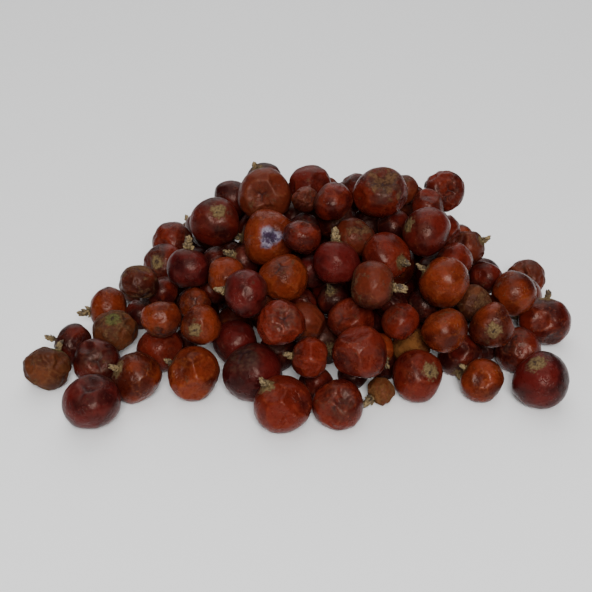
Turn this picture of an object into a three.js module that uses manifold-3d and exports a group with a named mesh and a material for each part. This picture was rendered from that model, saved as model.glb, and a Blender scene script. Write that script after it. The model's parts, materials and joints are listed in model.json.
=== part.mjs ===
// Heap of dried juniper berries: loose cones heaped on a flat surface, all in millimetres, +Z up.
// The berries that show were measured one by one on an upright sheet seen from the front.
// One rule sets each of them back along its line of sight onto the face of the heap, fills the
// inside and the far slope with seeded draws, and lets all of them settle until none overlap.
import * as THREE from "three";
import { mergeVertices } from "three/addons/utils/BufferGeometryUtils.js";
import Module from "manifold-3d";

const wasm = await Module();
wasm.setup();

// The line of sight: the eye looks along +Y and down, 5 mm down for every 8 mm forward.
const VIEW_DISTANCE = 230;
const VIEW_DROP = 5;
const VIEW_RUN = 8;
const VIEW_TARGET_HEIGHT = 18;
const NEAREST = 190;
const FURTHEST = 275;
const SIGHT_STEP = 0.25;

// The face of the heap, through the middles of its outermost berries.
const HEAP = {
  crestX: 9,
  crestY: 22,
  leftReach: 60,
  rightReach: 46,
  frontReach: 37,
  backReach: 35,
  crestHeight: 31.5,
  footHeight: 4.6,
};

// The outline on the upright sheet, from the foot up: left side, right side and top.
const OUTLINE_LEFT = [[-54, -14], [-10, 24]];
const OUTLINE_RIGHT = [[54, -10], [48, 4], [37, 8], [36, 11], [31, 14], [31, 22]];
const OUTLINE_TOP = 24;

// Berries that don't show: those on the far slope and those inside.
const SLOPE_BERRIES = 40;
const INNER_BERRIES = 64;
const HIDDEN_SMALLEST = 4;
const HIDDEN_LARGEST = 5.6;
const HIDDEN_COVER = 5.5;
const HIDDEN_ROOM = 0.8;
const INNER_DEPTH = 2;
const HIDDEN_TRIES = 9000;
const HIDDEN_SEED = 4711;
const HIDDEN_TONES = ["dark", "red", "amber", "red", "plum", "brown", "dark", "red", "amber"];

// Settling.
const SETTLE_ROUNDS = 300;
const SETTLE_DROP = 0.01;
const FORWARD_DRIFT = 4;
const FACE_HOLD = 0.3;
const SIDEWAYS_HOLD = 0.5;
const FLOOR_SINK = 0.95;

// Berry skins: how far they stay inside their own round, and how they depart from it.
const CLEARANCE = 0.17;
const FLATTENING = 0.07;
const LOBES = 3;
const LOBE_DEPTH = 0.05;
const DENT_DEPTH = 0.12;
const DENT_EDGE = 0.5;
const POLE_DEPTH = 0.05;
const POLE_EDGE = 0.8;
const SEEN_FACETS = [8, 6];
const OUTER_FACETS = [7, 5];
const BURIED_FACETS = [5, 3];
const BURIED_OPENINGS = 2;
const DEEP_SEEN = 4;
const MERGE_DISTANCE = 1e-4;

// Stalk stubs: the length and spread are those of a stub of size 1.
const STUB_SIZES = { small: 0.7, middle: 0.9, large: 1.25 };
const STUB_LENGTH = 2.2;
const STUB_SPREAD = 1.1;
const STUB_APART = 2.6;
const STUB_ROOT = 0.5;
const HIDDEN_STUB_SHARE = 0.3;
const STUB_TIERS = 2;
const TWIG_WIDTH = 0.9;
const STUB_TAPER = 0.2;
const SCALE_LIFT = 0.5;
const BEND_STEP = 0.04;
const BEND_LARGEST = 2;
const AXIS_SEED = 907;
const BEND_SEED = 3301;

// Bunches: at most this many nodes, of at most this many berries, joined where they touch.
const BUNCHES = 58;
const BUNCH_LARGEST = 4;
const NECK_WIDTH = 1.3;
const NECK_ROOT = 0.45;
const NECK_LONGEST = 1.5;
const UNLIKE_COST = 2;

// The floor, a little above the lowest skin, so that the berries standing on it have flat spots.
const FLOOR_LEVEL = 0.55;

// The middle of the heap's box, which the origin is put under.
const HEAP_MIDDLE_X = 1.73;
const HEAP_MIDDLE_Y = 18.19;

const COLOURS = {
  dark: 0x4a1f1a,
  plum: 0x5a2a30,
  red: 0x8a3a2b,
  amber: 0xa8562f,
  brown: 0x6e4230,
  olive: 0x9a7a4c,
};

// Each berry that shows, as it measures on an upright sheet held at the middle of the heap:
// across and up from the sheet's middle, width, how far it lies behind the heap's face
// (-1 where it stands on the floor), colour, then what its skin shows and where:
// a stalk stub (small, middle or large), a stalk scar, or the apex with its three seams.
const ON_FLOOR = -1;
const SEEN_BERRIES = [
  [-6.4, 23.0, 7.6, 3, "dark", "middle", -8.0, 25.8],
  [2.8, 22.2, 8.6, 0, "dark"],
  [11.8, 20.8, 7.6, 4, "dark"],
  [21.6, 21.0, 7.0, 5, "brown"],
  [29.6, 21.0, 8.4, 0, "plum", "apex", 31.2, 21.2],
  [-12.8, 19.4, 7.6, 3, "dark"],
  [-6.2, 20.2, 10.8, 0, "brown", "apex", -7.2, 20.2],
  [1.8, 19.4, 5.4, 3, "brown"],
  [7.4, 18.6, 8.0, 0, "red"],
  [17.0, 20.4, 10.6, 0, "red", "apex", 17.6, 23.4],
  [26.0, 17.8, 7.8, 0, "red"],
  [-16.2, 14.8, 9.8, 0, "dark", "scar", -15.4, 17.2],
  [1.4, 13.4, 6.8, 5, "plum"],
  [19.4, 14.0, 6.8, 7, "dark"],
  [29.0, 13.0, 7.6, 4, "red"],
  [-24.6, 10.6, 9.0, 0, "red"],
  [-5.6, 11.6, 11.6, 0, "amber", "apex", -5.2, 11.8],
  [1.2, 12.0, 7.6, 2, "red"],
  [11.6, 11.8, 8.6, 1, "brown", "apex", 13.2, 13.6],
  [26.0, 12.4, 10.4, 0, "dark", "scar", 22.0, 14.4],
  [34.4, 9.8, 7.2, 0, "brown", "middle", 37.6, 11.2],
  [-26.4, 6.2, 8.6, 2, "red", "scar", -28.2, 6.8],
  [-15.6, 6.8, 6.8, 4, "dark"],
  [-10.6, 6.8, 7.2, 6, "dark", "large", -12.0, 10.0],
  [-21.2, 5.6, 9.0, 0, "plum", "large", -21.6, 12.0],
  [8.2, 6.8, 9.8, 0, "plum", "large", 7.8, 12.4],
  [18.2, 8.0, 10.4, 0, "red", "middle", 21.8, 6.6],
  [31.4, 7.0, 8.0, 3, "red"],
  [-14.0, 4.0, 8.0, 1, "amber"],
  [-2.6, 3.8, 10.2, 0, "amber", "apex", -3.2, 6.4],
  [3.2, 4.8, 6.8, 6, "plum"],
  [38.0, 3.8, 6.8, 3, "dark"],
  [46.0, 3.4, 7.8, -1, "brown"],
  [-31.4, 2.6, 7.8, 0, "brown"],
  [-16.6, 1.2, 6.4, 5, "dark"],
  [15.2, 2.2, 9.6, 0, "olive", "large", 20.8, 1.6],
  [29.6, 2.6, 10.2, 0, "amber", "middle", 25.4, 5.6],
  [-26.8, 0.8, 7.0, 4, "red"],
  [-10.0, 0.4, 9.8, 0, "plum", "middle", -15.4, 1.2],
  [43.4, 0.4, 9.4, 0, "amber"],
  [7.4, -0.8, 7.2, 5, "dark", "middle", 4.8, 1.2],
  [35.6, -1.4, 7.2, 3, "olive"],
  [-37.6, -2.4, 8.6, 0, "amber", "large", -42.6, -3.4],
  [-20.2, -1.6, 6.4, 3, "amber", "apex", -20.2, -0.6],
  [1.6, -1.4, 6.4, 7, "dark"],
  [19.2, -1.4, 6.8, 6, "dark"],
  [25.6, -2.0, 6.8, 7, "dark"],
  [-30.8, -3.6, 6.8, 5, "dark"],
  [-27.0, -4.6, 8.2, 0, "amber"],
  [-19.0, -5.8, 8.0, 1, "amber", "scar", -20.4, -7.0],
  [-2.8, -5.8, 10.2, 0, "red", "apex", -2.2, -4.4],
  [1.8, -5.2, 8.4, 4, "brown"],
  [11.2, -5.2, 10.4, 0, "red", "apex", 8.8, -4.4],
  [20.8, -5.4, 8.0, 3, "red"],
  [49.4, -5.2, 10.6, -1, "red", "middle", 50.4, 0.2],
  [39.2, -6.0, 9.4, 0, "amber", "apex", 39.8, -7.0],
  [-36.2, -7.2, 9.2, 2, "olive", "scar", -36.8, -4.2],
  [29.6, -6.8, 9.2, 0, "amber"],
  [-44.8, -9.6, 8.2, -1, "dark", "middle", -49.2, -8.4],
  [-22.4, -9.4, 6.0, 6, "dark"],
  [-12.2, -9.2, 9.4, 5, "plum"],
  [23.0, -10.2, 8.0, 3, "olive"],
  [16.4, -10.2, 7.2, 5, "amber", "middle", 17.8, -13.2],
  [-27.0, -10.4, 9.8, 0, "red"],
  [44.0, -10.8, 9.8, 2, "red", "apex", 42.8, -8.2],
  [2.6, -12.2, 8.6, 0, "red", "middle", -2.4, -10.8],
  [12.8, -11.4, 11.0, 0, "red", "apex", 13.2, -10.8],
  [32.8, -12.0, 9.2, -1, "dark", "small", 30.6, -16.2],
  [-39.8, -13.0, 9.4, -1, "dark", "apex", -39.6, -13.2],
  [38.0, -11.0, 5.6, -1, "dark"],
  [-49.8, -14.2, 9.4, -1, "olive", "middle", -47.2, -9.6],
  [-8.6, -15.4, 12.0, -1, "plum"],
  [11.4, -15.6, 6.4, -1, "dark"],
  [-20.6, -15.6, 11.0, -1, "amber", "small", -26.6, -13.2],
  [24.4, -16.0, 10.8, -1, "red", "scar", 27.2, -14.8],
  [-31.8, -16.4, 10.4, -1, "amber", "middle", -36.2, -14.4],
  [37.2, -16.6, 9.0, -1, "amber", "small", 33.4, -14.2],
  [48.8, -16.8, 11.4, -1, "plum", "scar", 48.0, -13.0],
  [4.0, -17.4, 7.2, 6, "dark"],
  [17.0, -19.0, 6.0, -1, "olive", "large", 14.6, -21.4],
  [-40.8, -21.4, 11.4, -1, "plum", "apex", -42.2, -18.4],
  [-2.6, -21.4, 12.0, -1, "red", "middle", -6.4, -17.4],
  [8.4, -21.8, 10.2, -1, "red", "apex", 8.0, -21.4],
  [17.6, -14.0, 6.0, -1, "dark"],
];

// Seeded draws: the same sequence each time, in whole numbers.
const DRAW_FACTOR = 16807;
const DRAW_RANGE = 2147483647;

function drawer(seed) {
  let state = seed;
  return () => {
    state = (state * DRAW_FACTOR) % DRAW_RANGE;
    return state / DRAW_RANGE;
  };
}

// Small vector sums, on plain lists of three numbers.
const plus = (a, b) => [a[0] + b[0], a[1] + b[1], a[2] + b[2]];
const minus = (a, b) => [a[0] - b[0], a[1] - b[1], a[2] - b[2]];
const times = (a, s) => [a[0] * s, a[1] * s, a[2] * s];
const dot = (a, b) => a[0] * b[0] + a[1] * b[1] + a[2] * b[2];
const size = (a) => Math.sqrt(dot(a, a));
const unit = (a) => times(a, 1 / size(a));

// Lines of sight
const slant = Math.sqrt(VIEW_DROP * VIEW_DROP + VIEW_RUN * VIEW_RUN);
const down = VIEW_DROP / slant;
const ahead = VIEW_RUN / slant;
const EYE = [0, -VIEW_DISTANCE * ahead, VIEW_TARGET_HEIGHT + VIEW_DISTANCE * down];

function sightLine(across, up) {
  const onSheet = [across, up * down, VIEW_TARGET_HEIGHT + up * ahead];
  return unit(minus(onSheet, EYE));
}

// The heap's face: its reach is 0 at the crest and 1 at the foot.
function heapReach(x, y) {
  const dx = x - HEAP.crestX;
  const dy = y - HEAP.crestY;
  const a = dx / (dx < 0 ? HEAP.leftReach : HEAP.rightReach);
  const b = dy / (dy < 0 ? HEAP.frontReach : HEAP.backReach);
  return Math.sqrt(a * a + b * b);
}

function faceHeight(x, y) {
  const reach = heapReach(x, y);
  const fall = reach * Math.sqrt(reach);
  return HEAP.footHeight + (HEAP.crestHeight - HEAP.footHeight) * (1 - fall);
}

// Where a line of sight meets the heap's face, or passes it closest.
function meetFace(line) {
  let closest = NEAREST;
  let smallest = 1000;
  for (let t = NEAREST; t < FURTHEST; t += SIGHT_STEP) {
    const p = plus(EYE, times(line, t));
    const above = p[2] - faceHeight(p[0], p[1]);
    if (above <= 0) {
      return t;
    }
    if (above < smallest && heapReach(p[0], p[1]) < 1) {
      smallest = above;
      closest = t;
    }
  }
  return closest;
}

function meetFloor(line, width) {
  let t = VIEW_DISTANCE;
  for (let round = 0; round < 20; round += 1) {
    const radius = (width / 2) * (t / VIEW_DISTANCE);
    t = (radius * FLOOR_SINK - EYE[2]) / line[2];
  }
  return t;
}

// Berries that show
function seenBerries() {
  return SEEN_BERRIES.map(([across, up, width, behind, tone, mark, markAcross, markUp]) => {
    const line = sightLine(across, up);
    const floor = behind === ON_FLOOR;
    const t = floor ? meetFloor(line, width) : meetFace(line) + behind;
    return {
      seen: true,
      behind,
      floor,
      line,
      nearest: t - FORWARD_DRIFT,
      at: plus(EYE, times(line, t)),
      radius: (width / 2) * (t / VIEW_DISTANCE),
      tone,
      mark: mark || "none",
      markLine: mark ? sightLine(markAcross, markUp) : null,
    };
  });
}

// Berries that don't show: drawn at random on the far slope, then inside.
// Looking back at the eye from a hidden berry, the heap's face lies some way off.
function hasCover(at) {
  const toEye = unit(minus(EYE, at));
  const p = plus(at, times(toEye, HIDDEN_COVER));
  return p[2] < faceHeight(p[0], p[1]);
}

function hasRoom(at, radius, berries) {
  return berries.every((other) => size(minus(at, other.at)) > HIDDEN_ROOM * (radius + other.radius));
}

function addHidden(berries) {
  const draw = drawer(HIDDEN_SEED);
  const wanted = [SLOPE_BERRIES, INNER_BERRIES];
  wanted.forEach((count, stage) => {
    let added = 0;
    for (let k = 0; k < HIDDEN_TRIES && added < count; k += 1) {
      const x = HEAP.crestX - HEAP.leftReach + draw() * (HEAP.leftReach + HEAP.rightReach);
      const y = HEAP.crestY - HEAP.frontReach + draw() * (HEAP.frontReach + HEAP.backReach);
      const share = draw();
      const radius = HIDDEN_SMALLEST + (HIDDEN_LARGEST - HIDDEN_SMALLEST) * draw();
      const face = faceHeight(x, y);
      const z = stage === 0 ? face : radius + (face - radius - INNER_DEPTH) * share;
      const at = [x, y, Math.max(z, radius * FLOOR_SINK)];
      const inside = heapReach(x, y) < 1 && radius * FLOOR_SINK <= face;
      const clear = Math.max(...outsideBy(at, radius)) < 0;
      if (inside && clear && hasCover(at) && hasRoom(at, radius, berries)) {
        const tone = HIDDEN_TONES[Math.floor(draw() * HIDDEN_TONES.length)];
        const onSlope = stage === 0;
        berries.push({ seen: false, floor: false, at, radius, onSlope, tone, mark: "none" });
        added += 1;
      }
    }
  });
}

// The outline that the seen berries leave: no hidden one may stand out of it.
function onSheet(at) {
  const fromEye = minus(at, EYE);
  const depth = fromEye[1] * ahead - fromEye[2] * down;
  const scale = VIEW_DISTANCE / depth;
  return [fromEye[0] * scale, (fromEye[1] * down + fromEye[2] * ahead) * scale, scale];
}

// Across at a height, on straight stretches between points given from the foot up.
function between(points, up) {
  let [lowAcross, lowUp] = points[0];
  for (const [across, height] of points) {
    if (up <= height) {
      const share = height === lowUp ? 0 : (up - lowUp) / (height - lowUp);
      return lowAcross + (across - lowAcross) * Math.max(share, 0);
    }
    [lowAcross, lowUp] = [across, height];
  }
  return lowAcross;
}

function outsideBy(at, radius) {
  const [across, up, scale] = onSheet(at);
  const shown = radius * scale;
  const pastLeft = between(OUTLINE_LEFT, up) - (across - shown);
  const pastRight = across + shown - between(OUTLINE_RIGHT, up);
  const pastTop = up + shown - OUTLINE_TOP;
  return [pastLeft / scale, pastRight / scale, pastTop / scale];
}

// Settling: overlaps are pushed apart, seen berries keep to their lines of sight.
function pushApart(berries) {
  for (let i = 0; i < berries.length; i += 1) {
    for (let j = i + 1; j < berries.length; j += 1) {
      const a = berries[i];
      const b = berries[j];
      const gap = minus(b.at, a.at);
      const reach = a.radius + b.radius;
      const square = dot(gap, gap);
      if (square < reach * reach) {
        const distance = Math.sqrt(square);
        const push = times(gap, (reach - distance) / distance / 2);
        a.at = minus(a.at, push);
        b.at = plus(b.at, push);
      }
    }
  }
}

function keepInPlace(berry) {
  if (berry.seen) {
    const fromEye = minus(berry.at, EYE);
    const away = Math.max(dot(fromEye, berry.line), berry.nearest);
    const onLine = plus(EYE, times(berry.line, away));
    berry.at = plus(onLine, times(minus(berry.at, onLine), SIDEWAYS_HOLD));
  } else {
    const face = faceHeight(berry.at[0], berry.at[1]);
    if (berry.at[2] > face || berry.onSlope) {
      berry.at[2] += (face - berry.at[2]) * FACE_HOLD;
    }
    const reach = heapReach(berry.at[0], berry.at[1]);
    if (reach > 1) {
      berry.at[0] = HEAP.crestX + (berry.at[0] - HEAP.crestX) / reach;
      berry.at[1] = HEAP.crestY + (berry.at[1] - HEAP.crestY) / reach;
    }
    const [pastLeft, pastRight, pastTop] = outsideBy(berry.at, berry.radius);
    berry.at[0] += Math.max(pastLeft, 0) - Math.max(pastRight, 0);
    berry.at[2] -= SETTLE_DROP + Math.max(pastTop, 0);
  }
  const lowest = berry.radius * FLOOR_SINK;
  if (berry.floor || berry.at[2] < lowest) {
    berry.at[2] = lowest;
  }
}

function settle(berries) {
  for (let round = 0; round < SETTLE_ROUNDS; round += 1) {
    pushApart(berries);
    berries.forEach(keepInPlace);
  }
  // What overlap is left is taken off the two radii.
  const first = berries.map((berry) => berry.radius);
  for (let i = 0; i < berries.length; i += 1) {
    for (let j = i + 1; j < berries.length; j += 1) {
      const over = first[i] + first[j] - size(minus(berries[i].at, berries[j].at));
      if (over > 0) {
        const share = first[i] / (first[i] + first[j]);
        berries[i].radius = Math.min(berries[i].radius, first[i] - over * share);
        berries[j].radius = Math.min(berries[j].radius, first[j] - over * (1 - share));
      }
    }
  }
}

// Directions of the stalk end, the axis of each berry
function touchPoint(berry) {
  const toCentre = minus(berry.at, EYE);
  const along = dot(toCentre, berry.markLine);
  const closest = plus(EYE, times(berry.markLine, along));
  const aside = size(minus(closest, berry.at));
  const back = Math.sqrt(Math.max(berry.radius * berry.radius - aside * aside, 0));
  return minus(closest, times(berry.markLine, back));
}

function randomUnit(draw) {
  for (;;) {
    const v = [draw() * 2 - 1, draw() * 2 - 1, draw() * 2 - 1];
    const length = size(v);
    if (length > 0.1 && length < 1) {
      return times(v, 1 / length);
    }
  }
}

function setAxes(berries) {
  const draw = drawer(AXIS_SEED);
  for (const berry of berries) {
    const random = randomUnit(draw);
    const dent = randomUnit(draw);
    const chance = draw();
    const phase = draw();
    berry.dent = dent;
    berry.phase = phase;
    berry.stub = STUB_SIZES[berry.mark] || 0;
    if (berry.markLine) {
      const toMark = unit(minus(touchPoint(berry), berry.at));
      berry.axis = berry.mark === "apex" ? times(toMark, -1) : toMark;
    } else {
      berry.axis = random;
    }
    if (!berry.seen && chance < HIDDEN_STUB_SHARE) {
      berry.stub = STUB_SIZES.middle;
    }
  }
}

// A stub that would run into another berry is bent clear, or left off.
function stubHits(berries, berry, axis) {
  const width = STUB_SPREAD * berry.stub;
  const root = berry.radius;
  const tip = berry.radius + STUB_LENGTH * berry.stub;
  return berries.some((other) => {
    if (other === berry) {
      return false;
    }
    const toOther = minus(other.at, berry.at);
    const along = Math.min(Math.max(dot(toOther, axis), root), tip);
    const aside = size(minus(toOther, times(axis, along)));
    const otherStub = other.stubTip ? size(minus(other.stubTip, plus(berry.at, times(axis, tip)))) : 100;
    return aside < other.radius + width || otherStub < STUB_APART;
  });
}

function bendStubsClear(berries) {
  const draw = drawer(BEND_SEED);
  for (const berry of berries) {
    if (berry.stub === 0) {
      continue;
    }
    let axis = berry.axis;
    let bend = 0;
    const low = (a) => berry.at[2] + a[2] * (berry.radius + STUB_LENGTH * berry.stub) < STUB_SPREAD;
    while ((stubHits(berries, berry, axis) || low(axis)) && bend < BEND_LARGEST) {
      bend += BEND_STEP;
      axis = unit(plus(berry.axis, times(randomUnit(draw), bend)));
    }
    if (bend < BEND_LARGEST) {
      berry.axis = axis;
      berry.stubTip = plus(berry.at, times(axis, berry.radius + STUB_LENGTH * berry.stub));
    } else {
      berry.stub = 0;
    }
  }
}

// Bunches: berries that touch are joined, nearest first, like colours before unlike ones.
function bunchUp(berries) {
  const pairs = [];
  for (let i = 0; i < berries.length; i += 1) {
    for (let j = i + 1; j < berries.length; j += 1) {
      const gap = size(minus(berries[i].at, berries[j].at)) - berries[i].radius - berries[j].radius;
      if (gap < NECK_LONGEST) {
        const unlike = berries[i].tone === berries[j].tone ? 0 : UNLIKE_COST;
        pairs.push({ i, j, cost: gap + unlike });
      }
    }
  }
  pairs.sort((a, b) => a.cost - b.cost || a.i - b.i || a.j - b.j);
  const bunchOf = berries.map((berry, index) => index);
  const members = berries.map((berry, index) => [index]);
  const necks = berries.map(() => []);
  let count = berries.length;
  for (const { i, j } of pairs) {
    const a = bunchOf[i];
    const b = bunchOf[j];
    const together = a === b ? 0 : members[a].length + members[b].length;
    if (together > 0 && together <= BUNCH_LARGEST && count > BUNCHES) {
      members[b].forEach((member) => {
        bunchOf[member] = a;
      });
      members[a] = members[a].concat(members[b]);
      necks[a] = necks[a].concat(necks[b], [[i, j]]);
      members[b] = [];
      necks[b] = [];
      count -= 1;
    }
  }
  return members
    .map((list, index) => ({ list, necks: necks[index] }))
    .filter((bunch) => bunch.list.length > 0);
}

// How finely a berry is cut: by how many ways out of the heap it has, up and to the sides.
const WAYS_OUT = [];
for (const x of [-1, 0, 1]) {
  for (const y of [-1, 0, 1]) {
    for (const z of [0, 1, 2]) {
      if (x !== 0 || y !== 0 || z === 1) {
        WAYS_OUT.push(unit([x, y, z]));
      }
    }
  }
}

function setFacets(berries) {
  for (const berry of berries) {
    const openings = WAYS_OUT.filter((way) =>
      berries.every((other) => {
        const toOther = minus(other.at, berry.at);
        const along = dot(toOther, way);
        return other === berry || along < 0 || size(minus(toOther, times(way, along))) > other.radius;
      }),
    );
    const outer = openings.length > BURIED_OPENINGS ? OUTER_FACETS : BURIED_FACETS;
    berry.facets = berry.seen && berry.behind < DEEP_SEEN ? SEEN_FACETS : outer;
    if (berry.seen && berry.facets === BURIED_FACETS) {
      berry.facets = OUTER_FACETS;
    }
  }
}

// Solids
function toSolid(geometry) {
  const bare = geometry.clone();
  bare.deleteAttribute("normal");
  bare.deleteAttribute("uv");
  const merged = mergeVertices(bare, MERGE_DISTANCE);
  const solid = new wasm.Manifold(
    new wasm.Mesh({
      numProp: 3,
      vertProperties: new Float32Array(merged.attributes.position.array),
      triVerts: new Uint32Array(merged.index.array),
    }),
  );
  return solid;
}

function toGeometry(solid) {
  const mesh = solid.getMesh();
  const geometry = new THREE.BufferGeometry();
  geometry.setAttribute("position", new THREE.BufferAttribute(mesh.vertProperties, 3));
  geometry.setIndex(new THREE.BufferAttribute(mesh.triVerts, 1));
  return geometry;
}

// Turns a shape's +Y to the berry's axis and moves it to the berry.
function placeOn(berry, geometry) {
  const turn = new THREE.Quaternion().setFromUnitVectors(
    new THREE.Vector3(0, 1, 0),
    new THREE.Vector3(...berry.axis),
  );
  geometry.applyQuaternion(turn);
  geometry.translate(...berry.at);
  return geometry;
}

// A dried berry: flattened end to end, faintly three-sided, dimpled at its ends and dented.
function berrySkin(berry) {
  const [around, along] = berry.facets;
  const geometry = new THREE.SphereGeometry(1, around, along);
  const place = geometry.attributes.position;
  const way = new THREE.Vector3();
  const largest = berry.radius - CLEARANCE;
  const dent = new THREE.Vector3(...berry.dent);
  for (let k = 0; k < place.count; k += 1) {
    way.fromBufferAttribute(place, k);
    const sides = 1 - way.y * way.y;
    const lobe = Math.cos(LOBES * Math.atan2(way.z, way.x) + berry.phase * 2 * Math.PI);
    const facing = Math.max((way.dot(dent) - DENT_EDGE) / (1 - DENT_EDGE), 0);
    const pole = Math.max((Math.abs(way.y) - POLE_EDGE) / (1 - POLE_EDGE), 0);
    const inward =
      FLATTENING * way.y * way.y +
      (LOBE_DEPTH / 2) * sides * (1 - lobe) +
      DENT_DEPTH * facing +
      POLE_DEPTH * pole;
    way.multiplyScalar(largest * (1 - inward));
    place.setXYZ(k, way.x, way.y, way.z);
  }
  return placeOn(berry, geometry);
}

// A stalk stub: a short twig whose small scales flare out in tiers, three to a tier.
function stalkStub(berry) {
  const scale = berry.stub;
  const root = berry.radius * STUB_ROOT;
  const skin = berry.radius - CLEARANCE;
  const tier = (STUB_LENGTH * scale) / (STUB_TIERS + 1);
  const stub = new THREE.CylinderGeometry(1, 1, 1, 6, STUB_TIERS + 1);
  const place = stub.attributes.position;
  for (let k = 0; k < place.count; k += 1) {
    const level = Math.round((place.getY(k) + 0.5) * (STUB_TIERS + 1));
    const onAxis = Math.hypot(place.getX(k), place.getZ(k)) < 0.5;
    const turn = Math.round(Math.atan2(place.getZ(k), place.getX(k)) / (Math.PI / 3) + 6);
    const isTip = level > 0 && level <= STUB_TIERS && (turn + level) % 2 === 0;
    const spread = isTip ? STUB_SPREAD * (1 - STUB_TAPER * level) : TWIG_WIDTH / 2;
    const across = onAxis ? 0 : spread * scale;
    const lift = isTip ? tier * SCALE_LIFT : 0;
    const height = level === 0 ? root : skin + tier * (level - 0.5) + lift;
    place.setXYZ(k, place.getX(k) * across, height, place.getZ(k) * across);
  }
  return toSolid(placeOn(berry, stub));
}

// The short bridge where two berries of a bunch touch, sunk well into both.
function neck(a, b) {
  const across = minus(b.at, a.at);
  const distance = size(across);
  const length = distance - NECK_ROOT * (a.radius + b.radius);
  const rod = new THREE.CylinderGeometry(NECK_WIDTH / 2, NECK_WIDTH / 2, length, 3, 1);
  const way = unit(across);
  const turn = new THREE.Quaternion().setFromUnitVectors(
    new THREE.Vector3(0, 1, 0),
    new THREE.Vector3(...way),
  );
  rod.applyQuaternion(turn);
  rod.translate(...plus(a.at, times(way, a.radius * NECK_ROOT + length / 2)));
  return toSolid(rod);
}

// One bunch, cut flat where it stands on the floor.
function bunchSolid(berries, bunch, underfoot) {
  const solids = [];
  for (const index of bunch.list) {
    const berry = berries[index];
    solids.push(toSolid(berrySkin(berry)));
    if (berry.stub > 0) {
      solids.push(stalkStub(berry));
    }
  }
  for (const [i, j] of bunch.necks) {
    solids.push(neck(berries[i], berries[j]));
  }
  const whole = solids.reduce((joined, solid) => joined.add(solid));
  return whole.subtract(underfoot);
}

// The heap
const berries = seenBerries();
addHidden(berries);
settle(berries);
setAxes(berries);
bendStubsClear(berries);
setFacets(berries);
const bunches = bunchUp(berries);

const block = new THREE.BoxGeometry(400, 400, 20);
block.translate(0, 0, FLOOR_LEVEL - 10);
const underfoot = toSolid(block);

const heap = new THREE.Group();
heap.name = "dried_juniper_berries";
bunches.forEach((bunch, index) => {
  const tone = berries[bunch.list[0]].tone;
  const solid = bunchSolid(berries, bunch, underfoot);
  const material = new THREE.MeshStandardMaterial({
    color: COLOURS[tone],
    roughness: 0.45,
    metalness: 0,
  });
  material.name = `${tone}_berry_skin`;
  const mesh = new THREE.Mesh(toGeometry(solid), material);
  const number = String(index + 1).padStart(2, "0");
  mesh.name = `berries_${number}_${tone}`;
  mesh.position.set(-HEAP_MIDDLE_X, -HEAP_MIDDLE_Y, -FLOOR_LEVEL);
  heap.add(mesh);
});

export default heap;
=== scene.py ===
# %% [markdown]
# # A heap of dried juniper berries
# The object is a loose heap of dried, red-brown juniper berries. Botanically each one is a fleshy
# seed cone: a round skin over three grown-together scales, with three seams at the free end (the
# apex) and, on some, a stub of stalk clad in small straw-coloured scales at the other end.
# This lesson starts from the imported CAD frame, where every bunch of touching berries is one node,
# and swaps each node for a finer piece of the same form.

# %% Load the frame
import json
import math
from itertools import combinations

import bpy
import numpy as np
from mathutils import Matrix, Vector

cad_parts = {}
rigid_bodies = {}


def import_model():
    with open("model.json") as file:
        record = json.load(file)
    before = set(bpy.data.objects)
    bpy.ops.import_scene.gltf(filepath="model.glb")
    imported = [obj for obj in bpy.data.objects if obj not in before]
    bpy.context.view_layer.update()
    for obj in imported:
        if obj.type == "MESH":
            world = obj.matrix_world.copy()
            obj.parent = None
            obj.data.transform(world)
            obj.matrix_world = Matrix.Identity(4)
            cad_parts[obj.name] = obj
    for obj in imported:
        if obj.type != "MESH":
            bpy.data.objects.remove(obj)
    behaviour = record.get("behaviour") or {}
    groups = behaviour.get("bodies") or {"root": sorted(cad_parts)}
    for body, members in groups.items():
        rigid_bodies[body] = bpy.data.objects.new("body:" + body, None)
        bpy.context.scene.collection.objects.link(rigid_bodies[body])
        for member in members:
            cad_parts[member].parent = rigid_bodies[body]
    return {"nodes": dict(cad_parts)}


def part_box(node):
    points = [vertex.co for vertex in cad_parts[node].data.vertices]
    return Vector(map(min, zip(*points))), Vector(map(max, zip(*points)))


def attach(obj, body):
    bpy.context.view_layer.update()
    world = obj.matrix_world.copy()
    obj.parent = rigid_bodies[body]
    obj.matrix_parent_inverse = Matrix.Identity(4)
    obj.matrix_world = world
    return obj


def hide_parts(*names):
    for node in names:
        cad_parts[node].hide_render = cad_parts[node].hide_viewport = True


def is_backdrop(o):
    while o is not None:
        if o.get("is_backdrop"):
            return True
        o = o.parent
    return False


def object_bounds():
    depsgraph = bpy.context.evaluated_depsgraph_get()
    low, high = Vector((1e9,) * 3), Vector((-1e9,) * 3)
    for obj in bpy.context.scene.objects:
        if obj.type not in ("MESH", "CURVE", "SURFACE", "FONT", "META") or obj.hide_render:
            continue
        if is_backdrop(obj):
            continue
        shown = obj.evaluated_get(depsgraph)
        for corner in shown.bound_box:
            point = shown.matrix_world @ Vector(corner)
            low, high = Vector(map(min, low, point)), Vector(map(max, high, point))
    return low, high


for leftover in list(bpy.data.objects):
    bpy.data.objects.remove(leftover)
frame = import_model()
cad_bounds = [list(corner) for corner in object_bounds()]
MM = 0.001
sides = [round((high - low) / MM, 1) for low, high in zip(*cad_bounds)]
print("CAD box, mm:", sides, "nodes:", len(frame["nodes"]))

# %% [markdown]
# ## The camera
# A heap has no edges to line a camera up with. What it has is berries, and each of them was
# measured as it appears on an upright sheet held at the heap's middle. The camera is therefore
# made first, from the same few numbers that later set the berries back along their lines of
# sight: how far away the eye is, how steeply it looks down, and how wide that sheet is.

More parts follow.
